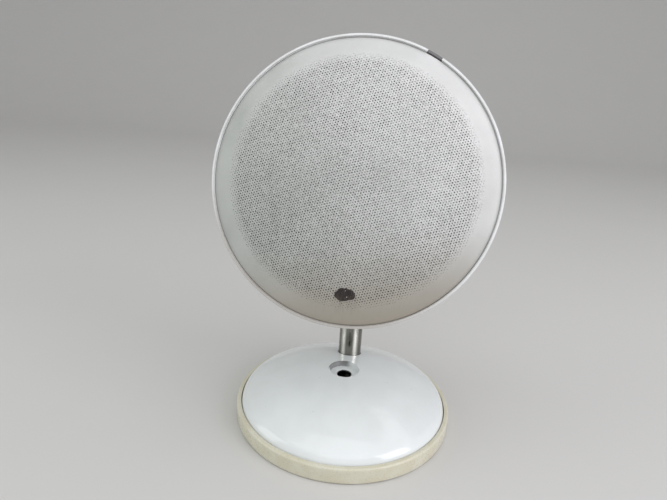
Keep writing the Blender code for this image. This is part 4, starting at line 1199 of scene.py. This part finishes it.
def makePivot():
    reach = bracket["earOuter"] + gap
    pin = bracket["pin"]
    head, top, tail = pivot["head"], reach + pivot["headHeight"], -reach - pivot["tail"]
    profile = softened([(0.0, top), (head, top, 1.1), (head, reach, 0.3), (pin, reach, 0.2),
                        (pin, tail, 0.4), (0.0, tail)])
    socket = slab(ringPlaces(6, pivot["socket"]), top - pivot["socketDepth"], top + 1.4)
    bolt = combined(meshOf(lathe(profile, 64)), [("DIFFERENCE", socket)])
    bolt.transform(Matrix.Rotation(math.radians(90.0), 4, "Y"))
    addPiece("pivotBolt", bolt, [finishes["zinc_steel"]], "head", ["pivot_bolt"],
             tiltFrame)
    nutShape = slab(ringPlaces(6, pivot["nut"]), -top, -reach, 0.3)
    nut = combined(meshOf(nutShape), [("DIFFERENCE", rod(pin + gap, -reach - 5.0, 0.0,
                                                         segments=48))])
    nut.transform(Matrix.Rotation(math.radians(90.0), 4, "Y"))
    addPiece("pivotNut", nut, [finishes["zinc_steel"]], "head", ["pivot_nut"],
             tiltFrame)
    for side, label in ((-1.0, "left"), (1.0, "right")):
        near, far = neck["tangHalf"] + 0.25, bracket["earInner"] - 0.25
        wide = pivot["washer"]
        profile = softened([(pin + gap, far, 0.1), (wide, far, 0.15), (wide, near, 0.15),
                            (pin + gap, near, 0.1)], 2)
        washer = turnedTo(lathe(profile, 72), "Y", 90.0 * side)
        addPiece("washer" + label.title(), washer, [finishes["white_nylon"]],
                 "neck", ["friction_washer_" + label],
                 Matrix.Translation(tiltPlace))


makeStem()
makeNeck()
makeBracket()
makePivot()
print("stem and tilt joint made")


# Screws: one turned screw with a cross recess, set on each place by a node tree.

screwSets = {
    "bracketScrews": {"nodes": ["bracket_screw_%d" % i for i in (1, 2, 3, 4)], "body": "head",
                      "places": shell["bracketScrews"], "top": -60.2, "seat": -58.6,
                      "tip": -51.2, "head": 2.9, "shank": 1.4, "frame": headFrame},
    "baffleScrews": {"nodes": ["baffle_screw_%d" % i for i in range(1, 7)], "body": "head",
                     "places": ringPlaces(6, 75.0), "top": -3.0, "seat": -4.7, "tip": -22.5,
                     "head": 3.0, "shank": 1.3, "frame": headFrame},
    "wooferScrews": {"nodes": ["woofer_screw_%d" % i for i in (1, 2, 3, 4)], "body": "head",
                     "places": ringPlaces(4, 49.7, 45.0, (0.0, -16.0)), "top": -1.3,
                     "seat": -2.7, "tip": -8.5, "head": 2.2, "shank": 1.2, "frame": headFrame},
    "baseScrews": {"nodes": ["base_screw_%d" % i for i in (1, 2, 3, 4)], "body": "base",
                   "places": ringPlaces(4, 52.0, 45.0), "top": 1.2, "seat": 2.7, "tip": 15.0,
                   "head": 3.0, "shank": 1.3, "frame": Matrix.Identity(4)},
}


def screwShape(look):                     # the head's outer end is at "top", the point at "tip"
    top, seat, tip = look["top"], look["seat"], look["tip"]
    way = math.copysign(1.0, top - seat)
    head, shank = look["head"], look["shank"]
    profile = [(0.0, top), (head * 0.62, top - way * 0.02), (head, (top + seat) / 2, 0.5),
               (head, seat, 0.1), (shank, seat)]
    turns = int(abs(seat - tip) / 0.8) - 1
    for i in range(turns):
        level = seat - way * (0.6 + 0.8 * i)
        profile += [(shank * 0.80, level), (shank, level - way * 0.4)]
    profile += [(shank * 0.5, tip), (0.0, tip)]
    if way < 0:
        profile.reverse()
    arms = [slab(roundedBox(low, high, 0.15, 3), *sorted((top + way, top - way * 1.0)))
            for low, high in (((-head * 0.55, -0.28), (head * 0.55, 0.28)),
                              ((-0.28, -head * 0.55), (0.28, head * 0.55)))]
    return combined(meshOf(lathe(softened(profile, 3), 32)),
                    [("DIFFERENCE", arm) for arm in arms])


def screwTree():
    network, given = newTree("screwSet", [("Places", "Geometry"), ("Screw", "Object"),
                                          ("Turn", "Float"), ("Seed", "Int"),
                                          ("Metal", "Material")])
    node = network.node
    screw = node("GeometryNodeObjectInfo", None, {"Object": given["Screw"]}, "Geometry")
    angle = node("FunctionNodeRandomValue", {"data_type": "FLOAT"},
                 {2: 0.0, 3: given["Turn"], "Seed": given["Seed"]}, 1)
    turned = node("GeometryNodeInstanceOnPoints", None,
                  {"Points": given["Places"], "Instance": screw,
                   "Rotation": network.vector(0.0, 0.0, angle)})
    real = node("GeometryNodeRealizeInstances", None, {0: turned})
    return endTree(network, node("GeometryNodeSetMaterial", None,
                                 {"Geometry": real, "Material": given["Metal"]}))


def makeScrews():
    tree = screwTree()
    for seed, (name, look) in enumerate(screwSets.items()):
        template = hostOf(screwShape(look), "screwTemplate")
        points = bpy.data.meshes.new("places")
        points.from_pydata([(x * mm, y * mm, 0.0) for x, y in look["places"]], [], [])
        mesh = runTree(hostOf(points), tree, {"Screw": template, "Turn": math.pi / 2, "Seed": seed,
                                              "Metal": finishes["zinc_steel"].material})
        bpy.data.objects.remove(template, do_unlink=True)
        addPiece(name, mesh, [], look["body"], look["nodes"], look["frame"])


makeScrews()
print("screws made")


# The rear panel's jack and pairing button.

panel = {"outside": shell["rear"] - gap, "inside": shell["rear"] + shell["wall"] + gap,
         "flange": 6.5, "flangeThick": 1.2, "barrel": 4.6, "housing": 5.5, "housingEnd": -43.0,
         "socket": 3.2, "socketEnd": -47.0, "contact": 0.9, "buttonFace": shell["rear"] - 1.3,
         "cap": 4.0, "capFlange": 5.6, "plunger": 1.4, "plungerEnd": -44.0}


def makeJack():
    outside, inside = panel["outside"], panel["inside"]
    housing, end, barrel, flange = (panel[key] for key in ("housing", "housingEnd", "barrel",
                                                           "flange"))
    socket, bottom, contact = panel["socket"], panel["socketEnd"], panel["contact"]
    face = outside - panel["flangeThick"]
    profile = softened([(0.0, end), (housing, end, 0.3), (housing, inside, 0.2),
                        (barrel, inside, 0.1), (barrel, outside, 0.1), (flange, outside, 0.2),
                        (flange, face, 0.5), (socket, face, 0.3), (socket, bottom, 0.1),
                        (contact, bottom, 0.1), (contact, outside, 0.3), (0.0, outside)])
    shape = lathe(profile, 96)
    bmesh.ops.translate(shape, verts=shape.verts, vec=Vector((*shell["jack"], 0.0)) * mm)
    addPiece("powerJack", shape, [finishes["black_plastic"]], "head",
             ["dc_jack"], headFrame)


def makeButton():
    inside, face = panel["inside"], panel["buttonFace"]
    plunger, end, cap, flange = (panel[key] for key in ("plunger", "plungerEnd", "cap",
                                                        "capFlange"))
    profile = softened([(0.0, end), (plunger, end, 0.2), (plunger, inside + 1.2, 0.1),
                        (flange, inside + 1.2, 0.2), (flange, inside + 0.1, 0.2),
                        (cap, inside + 0.1, 0.1), (cap, face, 0.6), (1.8, face, 0.5),
                        (0.0, face + 0.35)])
    shape = lathe(profile, 96)
    bmesh.ops.translate(shape, verts=shape.verts, vec=Vector((*shell["button"], 0.0)) * mm)
    addPiece("pairButton", shape, [finishes["black_plastic"]], "button",
             ["pair_button"], headFrame)


spring = {"low": panel["inside"] + 1.2 + gap, "high": shell["boardBack"] - 4.0 - gap,
          "coil": 2.6, "wire": 0.3, "turns": 4.0}


def coilTree():
    network, given = newTree("coilSpring", [("Turns", "Float"), ("Coil Radius", "Float"),
                                            ("Length", "Float"), ("Wire Radius", "Float"),
                                            ("Metal", "Material")])
    node = network.node
    path = node("GeometryNodeCurveSpiral", None,
                {"Resolution": 36, "Rotations": given["Turns"],
                 "Start Radius": given["Coil Radius"], "End Radius": given["Coil Radius"],
                 "Height": given["Length"]})
    wire = node("GeometryNodeCurvePrimitiveCircle", {"mode": "RADIUS"},
                {"Resolution": 14, "Radius": given["Wire Radius"]})
    coil = node("GeometryNodeCurveToMesh", None,
                {"Curve": path, "Profile Curve": wire, "Fill Caps": True})
    real = node("GeometryNodeRealizeInstances", None, {0: coil})
    return endTree(network, node("GeometryNodeSetMaterial", None,
                                 {"Geometry": real, "Material": given["Metal"]}))


def makeSpring():
    length = spring["high"] - spring["low"]
    values = {"Turns": spring["turns"], "Coil Radius": spring["coil"] * mm,
              "Length": (length - 2 * spring["wire"]) * mm, "Wire Radius": spring["wire"] * mm,
              "Metal": finishes["zinc_steel"].material}
    mesh = runTree(hostOf(bpy.data.meshes.new("coil")), coilTree(), values)
    shape = bmesh.new()
    shape.from_mesh(mesh)
    bmesh.ops.remove_doubles(shape, verts=shape.verts, dist=0.01 * mm)
    bmesh.ops.recalc_face_normals(shape, faces=shape.faces)
    shape.to_mesh(mesh)
    shape.free()
    x, y = shell["button"]
    place = headFrame @ Matrix.Translation(Vector((x, y, spring["low"] + spring["wire"])) * mm)
    piece = addPiece("buttonSpring", mesh, [], "head", ["button_spring"], place)
    travel = joints["button_press"]["range_m"][1] / mm
    1.0 - travel / length
    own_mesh(piece)


makeJack()
makeButton()
makeSpring()
print("rear panel made")


# CAD nodes that keep their shape get their slot's finish.

def dressNodes():
    slots = {part["node"]: part["material_slot"] for part in frame["record"]["subparts"]}
    for name, node in frame["nodes"].items():
        node.data.materials.clear()
        node.data.materials.append(finishes[slots[name]].material)


dressNodes()
print("carried-over nodes dressed")


# Floor, lights and camera.

studio = {"floor": rgb(0.66, 0.65, 0.63), "world": (0.90, 0.91, 0.93), "worldStrength": 0.58,
          "sweep": 1.6, "bend": 1.2,         # metres: where the floor starts to rise, its radius
          "lights": (
              {"name": "overhead", "place": (0.30, -0.35, 1.25), "size": (2.2, 1.8),
               "power": 9.0, "tint": (0.97, 0.98, 1.0)},
              {"name": "rightWindow", "place": (1.1, -0.55, 0.55), "size": (0.7, 0.9),
               "power": 6.0, "tint": (0.95, 0.93, 1.0)},
              {"name": "leftWindow", "place": (-1.1, -0.35, 0.5), "size": (0.6, 0.9),
               "power": 2.5, "tint": (0.92, 1.0, 0.95)})}
view = {"focal": 27.2, "place": (0.0304, -0.3137, 0.2256), "heading": 7.87, "pitch": 18.38,
        "roll": 3.38}


def makeFloor():
    finish = Finish("floor", roughness=0.6)
    cloud = finish.noise(finish.here, 140.0, 4.0)
    finish.paint(finish.mix(cloud, scaled(studio["floor"], 0.97), studio["floor"]))
    shape = bmesh.new()
    bmesh.ops.create_grid(shape, x_segments=2, y_segments=320, size=8.0)
    bend = studio["bend"]
    for point in shape.verts:              # the floor sweeps up behind the speaker
        past = point.co.y - studio["sweep"]
        turn = min(max(past, 0.0) / bend, math.pi / 2)
        if past > 0.0:
            point.co.y = studio["sweep"] + bend * math.sin(turn)
            point.co.z = bend * (1.0 - math.cos(turn)) + max(past - bend * math.pi / 2, 0.0)
    mesh = meshOf(shape)
    mesh.shade_smooth()
    mesh.materials.append(finish.material)
    floor = hostOf(mesh, "floor")


def makeLights():
    world = bpy.data.worlds.new("studio")
    world.use_nodes = True
    background = world.node_tree.nodes["Background"]
    background.inputs["Color"].default_value = rgb(*studio["world"])
    background.inputs["Strength"].default_value = studio["worldStrength"]
    bpy.context.scene.world = world
    target = Vector((0.0, 0.0, 0.11))
    for look in studio["lights"]:
        data = bpy.data.lights.new(look["name"], "AREA")
        data.shape = "RECTANGLE"
        data.size, data.size_y = look["size"]
        data.energy = look["power"]
        data.color = look["tint"]
        light = bpy.data.objects.new(look["name"], data)
        light.location = look["place"]
        light.rotation_euler = (target - light.location).to_track_quat("-Z", "Y").to_euler()
        bpy.context.scene.collection.objects.link(light)


def makeCamera():
    heading, pitch, roll = (math.radians(view[key]) for key in ("heading", "pitch", "roll"))
    right = Vector((math.cos(heading), math.sin(heading), 0.0))
    ahead = Vector((-math.sin(heading) * math.cos(pitch), math.cos(heading) * math.cos(pitch),
                    -math.sin(pitch)))
    up = right.cross(ahead)
    tilted = right * math.cos(roll) + up * math.sin(roll)
    data = bpy.data.cameras.new("camera")
    data.lens = view["focal"]
    data.sensor_width = 36.0
    data.clip_start = 0.01
    camera = bpy.data.objects.new("camera", data)
    camera.matrix_world = framed(Vector(view["place"]), tilted, tilted.cross(ahead), -ahead)
    bpy.context.scene.collection.objects.link(camera)
    bpy.context.scene.camera = camera


makeFloor()
makeLights()
makeCamera()
bpy.context.scene.view_settings.view_transform = "Standard"

print("scene made")
